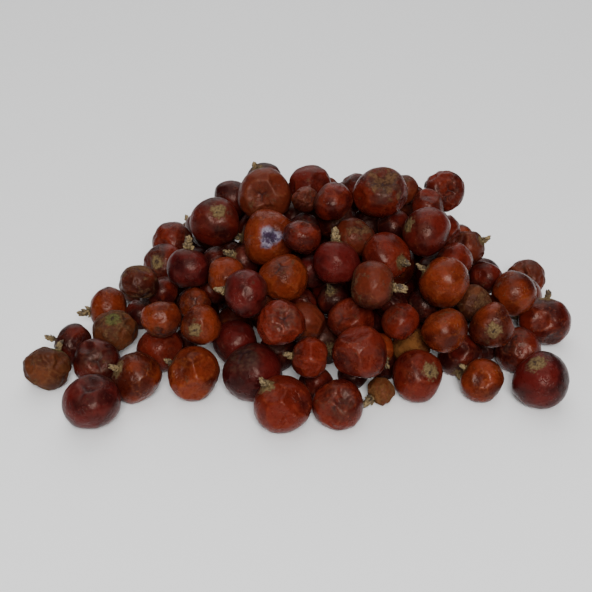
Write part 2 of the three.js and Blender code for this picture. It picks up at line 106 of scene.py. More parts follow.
# %% Eye and camera
VIEW_DISTANCE = 230
VIEW_DROP = 5
VIEW_RUN = 8
VIEW_TARGET_HEIGHT = 18
SHEET_WIDTH = 118.4
HEAP_MIDDLE_X = 1.73
HEAP_MIDDLE_Y = 18.19
FLOOR_LEVEL = 0.55
SENSOR_WIDTH = 36
CLIP_START = 0.01

slant = math.sqrt(VIEW_DROP * VIEW_DROP + VIEW_RUN * VIEW_RUN)
down = VIEW_DROP / slant
ahead = VIEW_RUN / slant
EYE = [0, -VIEW_DISTANCE * ahead, VIEW_TARGET_HEIGHT + VIEW_DISTANCE * down]


def in_frame(point):
    """A point of the placing rule, in millimetres, as a point of the frame, in metres."""
    shift = (HEAP_MIDDLE_X, HEAP_MIDDLE_Y, FLOOR_LEVEL)
    return Vector([(value - moved) * MM for value, moved in zip(point, shift)])


camera_data = bpy.data.cameras.new("heap_camera")
camera_data.sensor_width = SENSOR_WIDTH
camera_data.lens = SENSOR_WIDTH * VIEW_DISTANCE / SHEET_WIDTH
camera_data.clip_start = CLIP_START
camera = bpy.data.objects.new("heap_camera", camera_data)
camera.location = in_frame(EYE)
camera.rotation_euler = (math.pi / 2 - math.atan2(down, ahead), 0, 0)
bpy.context.scene.collection.objects.link(camera)
bpy.context.scene.camera = camera
looks_down = round(math.degrees(math.atan2(down, ahead)), 1)
print("camera:", round(camera_data.lens, 1), "mm lens,", looks_down, "degrees down")

# %% [markdown]
# ## Floor and light
# Dried berries have a satin skin: a broad soft light gives each one a soft highlight near its top
# and lets the gaps between them fall dark. A small hard lamp would give pin-point glints instead.
# A window panel in front does most of the work. A ceiling panel opens the shadows from overhead, a
# broad rear panel lights the far slope, and the pale floor throws a little light back up.

# %% Floor, lights and world
FLOOR_SIZE = 3.0
FLOOR_COLOUR = (0.92, 0.92, 0.92, 1)
FLOOR_ROUGHNESS = 0.9
WORLD_COLOUR = (0.97, 0.98, 1.0, 1)
WORLD_STRENGTH = 0.08
HEAP_MIDDLE = (0.0, 0.0, 0.015)
# Degrees round to the right of the camera, degrees up, metres away, metres wide, watts.
PANELS = {
    "window_panel": (4, 38, 0.75, 0.27, 6.7),
    "ceiling_panel": (-20, 75, 0.70, 0.60, 1.8),
    "rear_panel": (182, 44, 0.90, 1.00, 5.6),
}


def way_to(azimuth, elevation, distance):
    """A place seen from the heap."""
    flat = math.cos(math.radians(elevation)) * distance
    side = math.sin(math.radians(azimuth)) * flat
    front = -math.cos(math.radians(azimuth)) * flat
    return (side, front, HEAP_MIDDLE[2] + math.sin(math.radians(elevation)) * distance)


floor_mesh = bpy.data.meshes.new("studio_floor")
half = FLOOR_SIZE / 2
corners = [(-half, -half, 0), (half, -half, 0), (half, half, 0), (-half, half, 0)]
floor_mesh.from_pydata(corners, [], [(0, 1, 2, 3)])
floor = bpy.data.objects.new("studio_floor", floor_mesh)
bpy.context.scene.collection.objects.link(floor)
floor_material = bpy.data.materials.new("pale_floor")
floor_material.use_nodes = True
floor_shader = floor_material.node_tree.nodes["Principled BSDF"]
floor_shader.inputs["Base Color"].default_value = FLOOR_COLOUR
floor_shader.inputs["Roughness"].default_value = FLOOR_ROUGHNESS
floor_mesh.materials.append(floor_material)
floor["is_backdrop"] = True

for name, (azimuth, elevation, distance, width, power) in PANELS.items():
    panel = bpy.data.lights.new(name, "AREA")
    panel.shape = "SQUARE"
    panel.size = width
    panel.energy = power
    lamp = bpy.data.objects.new(name, panel)
    lamp.location = way_to(azimuth, elevation, distance)
    aim = Vector(HEAP_MIDDLE) - Vector(way_to(azimuth, elevation, distance))
    lamp.rotation_euler = aim.to_track_quat("-Z", "Y").to_euler()
    bpy.context.scene.collection.objects.link(lamp)
world = bpy.data.worlds.new("studio")
bpy.context.scene.world = world
world.use_nodes = True
background = world.node_tree.nodes["Background"]
background.inputs["Color"].default_value = WORLD_COLOUR
background.inputs["Strength"].default_value = WORLD_STRENGTH
print("floor and", len(PANELS), "lights")

# %% [markdown]
# ## Where the berries lie
# Real berries are poured and roll until they rest. A physics run could imitate that, but it would
# never end with the berries of the photograph in their places. So the berries that show are read
# off one by one: across and up on the upright sheet, width, how far each lies behind the face of
# the heap (-1 where it stands on the floor), its colour, and what shows on its skin and where: a
# stalk stub (small, middle or large), a stalk scar, or the apex with its three seams.

# %% The berries that show
ON_FLOOR = -1
SEEN_BERRIES = [
    [-6.4, 23.0, 7.6, 3, "dark", "middle", -8.0, 25.8],
    [2.8, 22.2, 8.6, 0, "dark"],
    [11.8, 20.8, 7.6, 4, "dark"],
    [21.6, 21.0, 7.0, 5, "brown"],
    [29.6, 21.0, 8.4, 0, "plum", "apex", 31.2, 21.2],
    [-12.8, 19.4, 7.6, 3, "dark"],
    [-6.2, 20.2, 10.8, 0, "brown", "apex", -7.2, 20.2],
    [1.8, 19.4, 5.4, 3, "brown"],
    [7.4, 18.6, 8.0, 0, "red"],
    [17.0, 20.4, 10.6, 0, "red", "apex", 17.6, 23.4],
    [26.0, 17.8, 7.8, 0, "red"],
    [-16.2, 14.8, 9.8, 0, "dark", "scar", -15.4, 17.2],
    [1.4, 13.4, 6.8, 5, "plum"],
    [19.4, 14.0, 6.8, 7, "dark"],
    [29.0, 13.0, 7.6, 4, "red"],
    [-24.6, 10.6, 9.0, 0, "red"],
    [-5.6, 11.6, 11.6, 0, "amber", "apex", -5.2, 11.8],
    [1.2, 12.0, 7.6, 2, "red"],
    [11.6, 11.8, 8.6, 1, "brown", "apex", 13.2, 13.6],
    [26.0, 12.4, 10.4, 0, "dark", "scar", 22.0, 14.4],
    [34.4, 9.8, 7.2, 0, "brown", "middle", 37.6, 11.2],
    [-26.4, 6.2, 8.6, 2, "red", "scar", -28.2, 6.8],
    [-15.6, 6.8, 6.8, 4, "dark"],
    [-10.6, 6.8, 7.2, 6, "dark", "large", -12.0, 10.0],
    [-21.2, 5.6, 9.0, 0, "plum", "large", -21.6, 12.0],
    [8.2, 6.8, 9.8, 0, "plum", "large", 7.8, 12.4],
    [18.2, 8.0, 10.4, 0, "red", "middle", 21.8, 6.6],
    [31.4, 7.0, 8.0, 3, "red"],
    [-14.0, 4.0, 8.0, 1, "amber"],
    [-2.6, 3.8, 10.2, 0, "amber", "apex", -3.2, 6.4],
    [3.2, 4.8, 6.8, 6, "plum"],
    [38.0, 3.8, 6.8, 3, "dark"],
    [46.0, 3.4, 7.8, -1, "brown"],
    [-31.4, 2.6, 7.8, 0, "brown"],
    [-16.6, 1.2, 6.4, 5, "dark"],
    [15.2, 2.2, 9.6, 0, "olive", "large", 20.8, 1.6],
    [29.6, 2.6, 10.2, 0, "amber", "middle", 25.4, 5.6],
    [-26.8, 0.8, 7.0, 4, "red"],
    [-10.0, 0.4, 9.8, 0, "plum", "middle", -15.4, 1.2],
    [43.4, 0.4, 9.4, 0, "amber"],
    [7.4, -0.8, 7.2, 5, "dark", "middle", 4.8, 1.2],
    [35.6, -1.4, 7.2, 3, "olive"],
    [-37.6, -2.4, 8.6, 0, "amber", "large", -42.6, -3.4],
    [-20.2, -1.6, 6.4, 3, "amber", "apex", -20.2, -0.6],
    [1.6, -1.4, 6.4, 7, "dark"],
    [19.2, -1.4, 6.8, 6, "dark"],
    [25.6, -2.0, 6.8, 7, "dark"],
    [-30.8, -3.6, 6.8, 5, "dark"],
    [-27.0, -4.6, 8.2, 0, "amber"],
    [-19.0, -5.8, 8.0, 1, "amber", "scar", -20.4, -7.0],
    [-2.8, -5.8, 10.2, 0, "red", "apex", -2.2, -4.4],
    [1.8, -5.2, 8.4, 4, "brown"],
    [11.2, -5.2, 10.4, 0, "red", "apex", 8.8, -4.4],
    [20.8, -5.4, 8.0, 3, "red"],
    [49.4, -5.2, 10.6, -1, "red", "middle", 50.4, 0.2],
    [39.2, -6.0, 9.4, 0, "amber", "apex", 39.8, -7.0],
    [-36.2, -7.2, 9.2, 2, "olive", "scar", -36.8, -4.2],
    [29.6, -6.8, 9.2, 0, "amber"],
    [-44.8, -9.6, 8.2, -1, "dark", "middle", -49.2, -8.4],
    [-22.4, -9.4, 6.0, 6, "dark"],
    [-12.2, -9.2, 9.4, 5, "plum"],
    [23.0, -10.2, 8.0, 3, "olive"],
    [16.4, -10.2, 7.2, 5, "amber", "middle", 17.8, -13.2],
    [-27.0, -10.4, 9.8, 0, "red"],
    [44.0, -10.8, 9.8, 2, "red", "apex", 42.8, -8.2],
    [2.6, -12.2, 8.6, 0, "red", "middle", -2.4, -10.8],
    [12.8, -11.4, 11.0, 0, "red", "apex", 13.2, -10.8],
    [32.8, -12.0, 9.2, -1, "dark", "small", 30.6, -16.2],
    [-39.8, -13.0, 9.4, -1, "dark", "apex", -39.6, -13.2],
    # A dark berry in a gap where the heap lies in shade; its colour is made darker as painted shade.
    [38.0, -11.0, 5.6, -1, "dark"],
    [-49.8, -14.2, 9.4, -1, "olive", "middle", -47.2, -9.6],
    [-8.6, -15.4, 12.0, -1, "plum"],
    # A dark berry in a gap where the heap lies in shade; its colour is made darker as painted shade.
    [11.4, -15.6, 6.4, -1, "dark"],
    [-20.6, -15.6, 11.0, -1, "amber", "small", -26.6, -13.2],
    [24.4, -16.0, 10.8, -1, "red", "scar", 27.2, -14.8],
    [-31.8, -16.4, 10.4, -1, "amber", "middle", -36.2, -14.4],
    [37.2, -16.6, 9.0, -1, "amber", "small", 33.4, -14.2],
    [48.8, -16.8, 11.4, -1, "plum", "scar", 48.0, -13.0],
    [4.0, -17.4, 7.2, 6, "dark"],
    [17.0, -19.0, 6.0, -1, "olive", "large", 14.6, -21.4],
    [-40.8, -21.4, 11.4, -1, "plum", "apex", -42.2, -18.4],
    [-2.6, -21.4, 12.0, -1, "red", "middle", -6.4, -17.4],
    [8.4, -21.8, 10.2, -1, "red", "apex", 8.0, -21.4],
    # A dark berry in a gap where the heap lies in shade; its colour is made darker as painted shade.
    [17.6, -14.0, 6.0, -1, "dark"],
]
print("berries that show:", len(SEEN_BERRIES))

# %% [markdown]
# The rule needs random numbers that come out the same every time, in this script and in the
# CAD, so it draws them with a small whole-number generator of its own. Every sum in the rule
# uses only plus, minus, times, divide and square root, which all computers round alike.

# %% Seeded draws and small vector sums
DRAW_FACTOR = 16807
DRAW_RANGE = 2147483647


def drawer(seed):
    """A function that gives the next draw between 0 and 1 each time it is called."""
    state = seed

    def draw():
        nonlocal state
        state = (state * DRAW_FACTOR) % DRAW_RANGE
        return state / DRAW_RANGE

    return draw


def plus(a, b):
    return [a[0] + b[0], a[1] + b[1], a[2] + b[2]]


def minus(a, b):
    return [a[0] - b[0], a[1] - b[1], a[2] - b[2]]


def times(a, s):
    return [a[0] * s, a[1] * s, a[2] * s]


def dot(a, b):
    return a[0] * b[0] + a[1] * b[1] + a[2] * b[2]


def size(a):
    return math.sqrt(dot(a, a))


def unit(a):
    return times(a, 1 / size(a))


# %% [markdown]
# A photograph gives no depth. The heap's face supplies it: a smooth hill through the middles of
# the outermost berries, highest at the crest and down to berry height at its foot. Each line of
# sight is followed until it meets that hill, or until it passes it closest.

# %% Lines of sight and the heap's face
NEAREST = 190
FURTHEST = 275
SIGHT_STEP = 0.25
FLOOR_SINK = 0.95
FLOOR_STEPS = 20
FORWARD_DRIFT = 4
CREST_X, CREST_Y, CREST_HEIGHT, FOOT_HEIGHT = 9, 22, 31.5, 4.6
LEFT_REACH, RIGHT_REACH, FRONT_REACH, BACK_REACH = 60, 46, 37, 35


def sight_line(across, up):
    return unit(minus([across, up * down, VIEW_TARGET_HEIGHT + up * ahead], EYE))


def heap_reach(x, y):
    """0 at the crest of the heap, 1 at its foot."""
    dx = x - CREST_X
    dy = y - CREST_Y
    a = dx / (LEFT_REACH if dx < 0 else RIGHT_REACH)
    b = dy / (FRONT_REACH if dy < 0 else BACK_REACH)
    return math.sqrt(a * a + b * b)


def face_height(x, y):
    reach = heap_reach(x, y)
    fall = reach * math.sqrt(reach)
    return FOOT_HEIGHT + (CREST_HEIGHT - FOOT_HEIGHT) * (1 - fall)


def meet_face(line):
    closest = NEAREST
    smallest = math.inf
    t = NEAREST
    while t < FURTHEST:
        p = plus(EYE, times(line, t))
        above = p[2] - face_height(p[0], p[1])
        if above <= 0:
            return t
        if above < smallest and heap_reach(p[0], p[1]) < 1:
            smallest = above
            closest = t
        t += SIGHT_STEP
    return closest


def meet_floor(line, width):
    t = VIEW_DISTANCE
    for _ in range(FLOOR_STEPS):
        radius = (width / 2) * (t / VIEW_DISTANCE)
        t = (radius * FLOOR_SINK - EYE[2]) / line[2]
    return t


class Berry:
    """One berry: its middle and radius in millimetres, and how it lies and looks."""

    def __init__(self, at, radius, tone, seen):
        self.at = at
        self.radius = radius
        self.tone = tone
        self.seen = seen
        self.behind = 0
        self.floor = False
        self.on_slope = False
        self.line = None
        self.mark = "none"
        self.mark_line = None


def seen_berry(across, up, width, behind, tone, mark="none", mark_across=0, mark_up=0):
    line = sight_line(across, up)
    t = meet_floor(line, width) if behind == ON_FLOOR else meet_face(line) + behind
    berry = Berry(plus(EYE, times(line, t)), (width / 2) * (t / VIEW_DISTANCE), tone, True)
    berry.behind = behind
    berry.floor = behind == ON_FLOOR
    berry.line = line
    berry.nearest = t - FORWARD_DRIFT
    berry.mark = mark
    if mark != "none":
        berry.mark_line = sight_line(mark_across, mark_up)
    return berry


berries = [seen_berry(*row) for row in SEEN_BERRIES]
widths = [2 * berry.radius for berry in berries]
print("real widths, mm:", round(min(widths), 1), "to", round(max(widths), 1))

# %% [markdown]
# The berries that nobody sees hold the others up. They are drawn at random, first on the far
# slope and then inside, each with room of its own, none of them in front of the berries that
# show and none outside the outline that those leave.

# %% The berries that don't show
OUTLINE_LEFT = [[-54, -14], [-10, 24]]
OUTLINE_RIGHT = [[54, -10], [48, 4], [37, 8], [36, 11], [31, 14], [31, 22]]
OUTLINE_TOP = 24
SLOPE_BERRIES = 40
INNER_BERRIES = 64
HIDDEN_SMALLEST = 4
HIDDEN_LARGEST = 5.6
HIDDEN_COVER = 5.5
HIDDEN_ROOM = 0.8
INNER_DEPTH = 2
HIDDEN_TRIES = 9000
HIDDEN_SEED = 4711
HIDDEN_TONES = ["dark", "red", "amber", "red", "plum", "brown", "dark", "red", "amber"]


def has_cover(at):
    """Looking back at the eye from a hidden berry, the heap's face lies some way off."""
    p = plus(at, times(unit(minus(EYE, at)), HIDDEN_COVER))
    return p[2] < face_height(p[0], p[1])


def has_room(at, radius):
    return all(size(minus(at, other.at)) > HIDDEN_ROOM * (radius + other.radius) for other in berries)


def on_sheet(at):
    from_eye = minus(at, EYE)
    depth = from_eye[1] * ahead - from_eye[2] * down
    scale = VIEW_DISTANCE / depth
    return from_eye[0] * scale, (from_eye[1] * down + from_eye[2] * ahead) * scale, scale


def between(points, up):
    """Across at a height, on straight stretches between points given from the foot up."""
    low_across, low_up = points[0]
    for across, height in points:
        if up <= height:
            share = 0 if height == low_up else (up - low_up) / (height - low_up)
            return low_across + (across - low_across) * max(share, 0)
        low_across, low_up = across, height
    return low_across


def outside_by(at, radius):
    across, up, scale = on_sheet(at)
    shown = radius * scale
    past_left = between(OUTLINE_LEFT, up) - (across - shown)
    past_right = across + shown - between(OUTLINE_RIGHT, up)
    past_top = up + shown - OUTLINE_TOP
    return past_left / scale, past_right / scale, past_top / scale


def add_hidden(count, on_slope, draw):
    added = 0
    for _ in range(HIDDEN_TRIES):
        if added == count:
            break
        x = CREST_X - LEFT_REACH + draw() * (LEFT_REACH + RIGHT_REACH)
        y = CREST_Y - FRONT_REACH + draw() * (FRONT_REACH + BACK_REACH)
        share = draw()
        radius = HIDDEN_SMALLEST + (HIDDEN_LARGEST - HIDDEN_SMALLEST) * draw()
        face = face_height(x, y)
        z = face if on_slope else radius + (face - radius - INNER_DEPTH) * share
        at = [x, y, max(z, radius * FLOOR_SINK)]
        inside = heap_reach(x, y) < 1 and radius * FLOOR_SINK <= face
        clear = max(outside_by(at, radius)) < 0
        if inside and clear and has_cover(at) and has_room(at, radius):
            tone = HIDDEN_TONES[math.floor(draw() * len(HIDDEN_TONES))]
            berry = Berry(at, radius, tone, False)
            berry.on_slope = on_slope
            berries.append(berry)
            added += 1
    return added


hidden_draw = drawer(HIDDEN_SEED)
on_slope = add_hidden(SLOPE_BERRIES, True, hidden_draw)
inner = add_hidden(INNER_BERRIES, False, hidden_draw)
print("hidden berries:", on_slope, "on the far slope and", inner, "inside")

# %% [markdown]
# At first many berries overlap. Settling pushes every overlapping pair apart, a little at a time,
# while each berry that shows is drawn back to its line of sight, hidden ones are kept under the
# face and inside the outline, and nothing sinks through the floor. To save time, only pairs that
# could meet in a round are looked at. Berries that still overlap at the end shrink until they
# touch.

# %% Settling
SETTLE_ROUNDS = 300
SETTLE_DROP = 0.01
FACE_HOLD = 0.3
SIDEWAYS_HOLD = 0.5
MEETING_MARGIN = 6.0


def pairs_that_may_meet():
    at = np.array([berry.at for berry in berries])
    radius = np.array([berry.radius for berry in berries])
    apart = np.linalg.norm(at[:, None] - at[None, :], axis=2) - radius[:, None] - radius[None, :]
    firsts, seconds = np.nonzero(np.triu(apart < MEETING_MARGIN, 1))
    return zip(firsts.tolist(), seconds.tolist())


def push_apart():
    for i, j in pairs_that_may_meet():
        a = berries[i]
        b = berries[j]
        gap = minus(b.at, a.at)
        reach = a.radius + b.radius
        square = dot(gap, gap)
        if square < reach * reach:
            distance = math.sqrt(square)
            push = times(gap, (reach - distance) / distance / 2)
            a.at = minus(a.at, push)
            b.at = plus(b.at, push)


def keep_in_place(berry):
    if berry.seen:
        from_eye = minus(berry.at, EYE)
        away = max(dot(from_eye, berry.line), berry.nearest)
        on_line = plus(EYE, times(berry.line, away))
        berry.at = plus(on_line, times(minus(berry.at, on_line), SIDEWAYS_HOLD))
    else:
        face = face_height(berry.at[0], berry.at[1])
        if berry.at[2] > face or berry.on_slope:
            berry.at[2] += (face - berry.at[2]) * FACE_HOLD
        reach = heap_reach(berry.at[0], berry.at[1])
        if reach > 1:
            berry.at[0] = CREST_X + (berry.at[0] - CREST_X) / reach
            berry.at[1] = CREST_Y + (berry.at[1] - CREST_Y) / reach
        past_left, past_right, past_top = outside_by(berry.at, berry.radius)
        berry.at[0] += max(past_left, 0) - max(past_right, 0)
        berry.at[2] -= SETTLE_DROP + max(past_top, 0)
    lowest = berry.radius * FLOOR_SINK
    if berry.floor or berry.at[2] < lowest:
        berry.at[2] = lowest


for _ in range(SETTLE_ROUNDS):
    push_apart()
    for berry in berries:
        keep_in_place(berry)

for berry in berries:
    berry.wish = berry.radius
for a, b in combinations(berries, 2):
    over = a.wish + b.wish - size(minus(a.at, b.at))
    if over > 0:
        share = a.wish / (a.wish + b.wish)
        a.radius = min(a.radius, a.wish - over * share)
        b.radius = min(b.radius, b.wish - over * (1 - share))
print("settled", len(berries), "berries, highest middle at", round(max(b.at[2] for b in berries), 1), "mm")

# %% [markdown]
# Each berry also has a way it lies: the direction of its stalk end. Where the mark on its skin
# shows, that is a point on the near side of the ball; elsewhere it is drawn. A stub that would
# run into a neighbour is bent clear of it, or left off if there is no room at all.

# %% Which way each berry lies
STUB_SIZES = {"small": 0.7, "middle": 0.9, "large": 1.25}
STUB_LENGTH = 2.2
STUB_SPREAD = 1.1
STUB_APART = 2.6
HIDDEN_STUB_SHARE = 0.3
BEND_STEP = 0.04
BEND_LARGEST = 2
AXIS_SEED = 907
BEND_SEED = 3301
SHORTEST_DRAWN = 0.1


def random_unit(draw):
    while True:
        v = [draw() * 2 - 1, draw() * 2 - 1, draw() * 2 - 1]
        length = size(v)
        if SHORTEST_DRAWN < length < 1:
            return times(v, 1 / length)


def touch_point(berry):
    """Where the line of sight to a mark meets the berry's near side, or passes it closest."""
    along = dot(minus(berry.at, EYE), berry.mark_line)
    closest = plus(EYE, times(berry.mark_line, along))
    aside = size(minus(closest, berry.at))
    back = math.sqrt(max(berry.radius * berry.radius - aside * aside, 0))
    return minus(closest, times(berry.mark_line, back))


def stub_hits(berry, axis):
    width = STUB_SPREAD * berry.stub
    tip = berry.radius + STUB_LENGTH * berry.stub
    tip_at = plus(berry.at, times(axis, tip))
    for other in berries:
        if other is berry:
            continue
        to_other = minus(other.at, berry.at)
        along = min(max(dot(to_other, axis), berry.radius), tip)
        aside = size(minus(to_other, times(axis, along)))
        other_stub = size(minus(other.stub_tip, tip_at)) if other.stub_tip else math.inf
        if aside < other.radius + width or other_stub < STUB_APART:
            return True
    return False


axis_draw = drawer(AXIS_SEED)
for berry in berries:
    drawn_axis = random_unit(axis_draw)
    berry.dent = random_unit(axis_draw)
    chance = axis_draw()
    berry.phase = axis_draw()
    berry.stub = STUB_SIZES.get(berry.mark, 0)
    berry.stub_tip = None
    berry.axis = drawn_axis
    if berry.mark_line:
        to_mark = unit(minus(touch_point(berry), berry.at))
        berry.axis = times(to_mark, -1) if berry.mark == "apex" else to_mark
    if not berry.seen and chance < HIDDEN_STUB_SHARE:
        berry.stub = STUB_SIZES["middle"]

bend_draw = drawer(BEND_SEED)
for berry in [b for b in berries if b.stub > 0]:
    reach = berry.radius + STUB_LENGTH * berry.stub
    axis = berry.axis
    bend = 0
    while (stub_hits(berry, axis) or berry.at[2] + axis[2] * reach < STUB_SPREAD) and bend < BEND_LARGEST:
        bend += BEND_STEP
        axis = unit(plus(berry.axis, times(random_unit(bend_draw), bend)))
    if bend < BEND_LARGEST:
        berry.axis = axis
        berry.stub_tip = plus(berry.at, times(axis, reach))
    else:
        berry.stub = 0
print("stalk stubs:", sum(1 for b in berries if b.stub > 0))

# %% [markdown]
# The CAD joins berries that touch into bunches, one node each, nearest pairs first and like
# colours before unlike ones. The same sorting here tells which berries each node stands for. The
# middle of each bunch is then compared with the middle of its node's box. Stubs and dents aside,
# they are the same, so the worst difference that is printed has to be a millimetre or two.

# %% Bunches, checked against the CAD nodes
BUNCHES = 58
BUNCH_LARGEST = 4
NECK_LONGEST = 1.5
UNLIKE_COST = 2

pairs = []
for (i, a), (j, b) in combinations(enumerate(berries), 2):
    gap = size(minus(a.at, b.at)) - a.radius - b.radius
    if gap < NECK_LONGEST:
        pairs.append((gap + (0 if a.tone == b.tone else UNLIKE_COST), i, j))

bunch_of = list(range(len(berries)))
members = [[index] for index in range(len(berries))]
count = len(berries)
for _, i, j in sorted(pairs):
    a = bunch_of[i]
    b = bunch_of[j]
    if a != b and len(members[a]) + len(members[b]) <= BUNCH_LARGEST and count > BUNCHES:
        for member in members[b]:
            bunch_of[member] = a
        members[a] = members[a] + members[b]
        members[b] = []
        count -= 1

bunches = {}
for index, group in enumerate(group for group in members if group):
    name = f"berries_{index + 1:02d}_{berries[group[0]].tone}"
    bunches[name] = [berries[member] for member in group]

worst = 0
for name, group in bunches.items():
    low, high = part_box(name)
    for k in range(3):
        lowest = min(in_frame(berry.at)[k] - berry.radius * MM for berry in group)
        highest = max(in_frame(berry.at)[k] + berry.radius * MM for berry in group)
        middle = (lowest + highest) / 2 - (low[k] + high[k]) / 2
        worst = max(worst, abs(middle) / MM)
print("bunches:", len(bunches), "and the worst difference of a box's middle, mm:", round(worst, 2))

# %% [markdown]
# ## Node trees written in a script
# The berries and their stalk scales repeat, each a little different, so Geometry Nodes make them:
# one tree describes any berry, and its named inputs say which one. Math nodes are the same in
# geometry and in shader trees, so a few helpers serve both. They add their nodes to the tree that
# is being made, which is always called `tree`, and a sum of values is written like any other sum.

# %% Helpers for node trees
class Value:
    """A socket that sums are written with. Each sum adds a Math node."""

    def __init__(self, socket):
        self.socket = socket

    def __add__(self, other):
        return maths("ADD", self, other)

    def __sub__(self, other):
        return maths("SUBTRACT", self, other)

    def __rsub__(self, other):
        return maths("SUBTRACT", other, self)

    def __mul__(self, other):
        return maths("MULTIPLY", self, other)

    def __truediv__(self, other):
        return maths("DIVIDE", self, other)

    def __abs__(self):
        return maths("ABSOLUTE", self)


def plug(socket, value):
    """Links a socket to another node's output, or sets it to a plain value."""
    if isinstance(value, Value):
        value = value.socket
    if isinstance(value, bpy.types.NodeSocket):
        tree.links.new(value, socket)
    else:
        socket.default_value = value


def whole_node(kind, inputs=(), **settings):
    """A node of the tree, with its settings and its inputs by name or number."""
    node = tree.nodes.new(kind)
    for title, value in settings.items():
        setattr(node, title, value)
    for key, value in dict(inputs).items():
        plug(node.inputs[key], value)
    return node


def make(kind, inputs=(), output=0, **settings):
    """One output of a new node."""
    return Value(whole_node(kind, inputs, **settings).outputs[output])


def maths(operation, *values):
    return make("ShaderNodeMath", enumerate(values), operation=operation)


def vector_maths(operation, *values):
    output = "Value" if operation == "DOT_PRODUCT" else "Vector"
    return make("ShaderNodeVectorMath", enumerate(values), output, operation=operation)


def scaled(vector, factor):
    return make("ShaderNodeVectorMath", {0: vector, "Scale": factor}, operation="SCALE")


def ramp(value, low, high, first=0.0, last=1.0):
    """A soft step: first up to low, last from high on, and a smooth rise between."""
    ends = {"Value": value, "From Min": low, "From Max": high, "To Min": first, "To Max": last}
    return make("ShaderNodeMapRange", ends, interpolation_type="SMOOTHSTEP")


def xyz(vector):
    return [Value(socket) for socket in whole_node("ShaderNodeSeparateXYZ", {0: vector}).outputs]


def from_xyz(x, y, z):
    return make("ShaderNodeCombineXYZ", enumerate((x, y, z)))


def noise(vector, scale, detail=2.0, roughness=0.5, output="Fac"):
    inputs = {"Vector": vector, "Scale": scale, "Detail": detail, "Roughness": roughness}
    return make("ShaderNodeTexNoise", inputs, output)


def blend(factor, first, second):
    """A mix of two colours."""
    return make("ShaderNodeMix", {0: factor, 6: first, 7: second}, 2, data_type="RGBA")


def position():
    """Where each point of a shape is."""
    return make("GeometryNodeInputPosition")


def new_tree(name, kind, inputs, outputs):
    """A node group with named inputs (name, socket type, value) and outputs (name, type)."""
    group = bpy.data.node_groups.new(name, kind)
    for title, socket_type, value in inputs:
        socket = group.interface.new_socket(name=title, in_out="INPUT", socket_type=socket_type)
        if value is not None:
            socket.default_value = value
    for title, socket_type in outputs:
        group.interface.new_socket(name=title, in_out="OUTPUT", socket_type=socket_type)
    given = {socket.name: Value(socket) for socket in group.nodes.new("NodeGroupInput").outputs}
    return group, given, group.nodes.new("NodeGroupOutput").inputs


def put_down(shape, scale, finish):
    """Turns and moves a shape to its place, keeps it above the floor and gives it its finish."""
    way_there = {"Translation": given["Place"], "Rotation": given["Turn"], "Scale": scale}
    placed = make("GeometryNodeTransform", {"Geometry": shape, **way_there})
    x, y, z = xyz(position())
    on_floor = from_xyz(x, y, maths("MAXIMUM", z, 0.0))
    rest = make("GeometryNodeSetPosition", {"Geometry": placed, "Position": on_floor})
    smooth = make("GeometryNodeSetShadeSmooth", {"Geometry": rest})
    finished = make("GeometryNodeSetMaterial", {"Geometry": smooth, "Material": finish})
    plug(result["Mesh"], finished)


FLOAT = "NodeSocketFloat"
WHOLE = "NodeSocketInt"
VECTOR = "NodeSocketVector"
COLOUR = "NodeSocketColor"
SHAPE = "NodeSocketGeometry"
FINISH = "NodeSocketMaterial"

# %% [markdown]
# ## The skin of a berry
# A fresh berry is a taut ball. As it dries, its flesh shrinks under a skin that doesn't, so the
# skin caves in between soft ridges. Sculpting 166 berries by hand is out of the question, and one
# sculpt repeated would show. A rule does it: an ico sphere (even faces, no poles) is pushed in by
# the same flattening, lobes, dent and end dimples as in the CAD, then by hollows that lie between
# ridges, which the edges of a Voronoi pattern give, by the three seams at the apex, and by facets.
# The stalk end is the local +Y. What the material needs later is kept in attributes: the place
# on the ball, how near a ridge is, and how near a seam is.

# %% The berry tree
FLATTENING = 0.07
LOBES = 3
LOBE_DEPTH = 0.05
DENT_DEPTH = 0.12
DENT_EDGE = 0.5
POLE_DEPTH = 0.05
POLE_EDGE = 0.8
RIDGE_WIDTH = 0.07
WRINKLE_LEVEL = 0.35
WRINKLE_DEPTH = 0.048
SHAPE_SEED_STEP = (17.3, 5.1, 9.7)

tree, given, result = new_tree(
    "juniper_berry",
    "GeometryNodeTree",
    [
        ("Radius", FLOAT, 0.0045),
        ("Subdivisions", WHOLE, 5),
        ("Lobe Phase", FLOAT, 0.0),
        ("Dent Way", VECTOR, (1, 0, 0)),
        ("Hollow Depth", FLOAT, 0.05),
        ("Hollow Scale", FLOAT, 1.4),
        ("Pole Depth", FLOAT, 0.05),
        ("Seam Depth", FLOAT, 0.04),
        ("Facet Way 1", VECTOR, (0, 0, 0)),
        ("Facet Way 2", VECTOR, (0, 0, 0)),
        ("Facet Way 3", VECTOR, (0, 0, 0)),
        ("Facet Rims", VECTOR, (0.9, 0.9, 0.9)),
        ("Seed", FLOAT, 0.0),
        ("Turn", VECTOR, (0, 0, 0)),
        ("Place", VECTOR, (0, 0, 0)),
        ("Skin", FINISH, None),
    ],
    [("Mesh", SHAPE)],
)
ball = make("GeometryNodeMeshIcoSphere", {"Radius": 1.0, "Subdivisions": given["Subdivisions"]})
way = position()
x, y, z = xyz(way)
y_square = y * y
around = maths("ARCTAN2", z, x)
phase = given["Lobe Phase"] * (2 * math.pi)

flat_part = y_square * FLATTENING
lobe_valley = 1.0 - maths("COSINE", around * LOBES + phase)
lobe_part = lobe_valley * (LOBE_DEPTH / 2) * (1.0 - y_square)
facing = vector_maths("DOT_PRODUCT", way, given["Dent Way"])
dent_part = ramp(facing, DENT_EDGE, 1.0, 0.0, DENT_DEPTH)
pole_part = ramp(abs(y), POLE_EDGE, 1.0) * given["Pole Depth"]

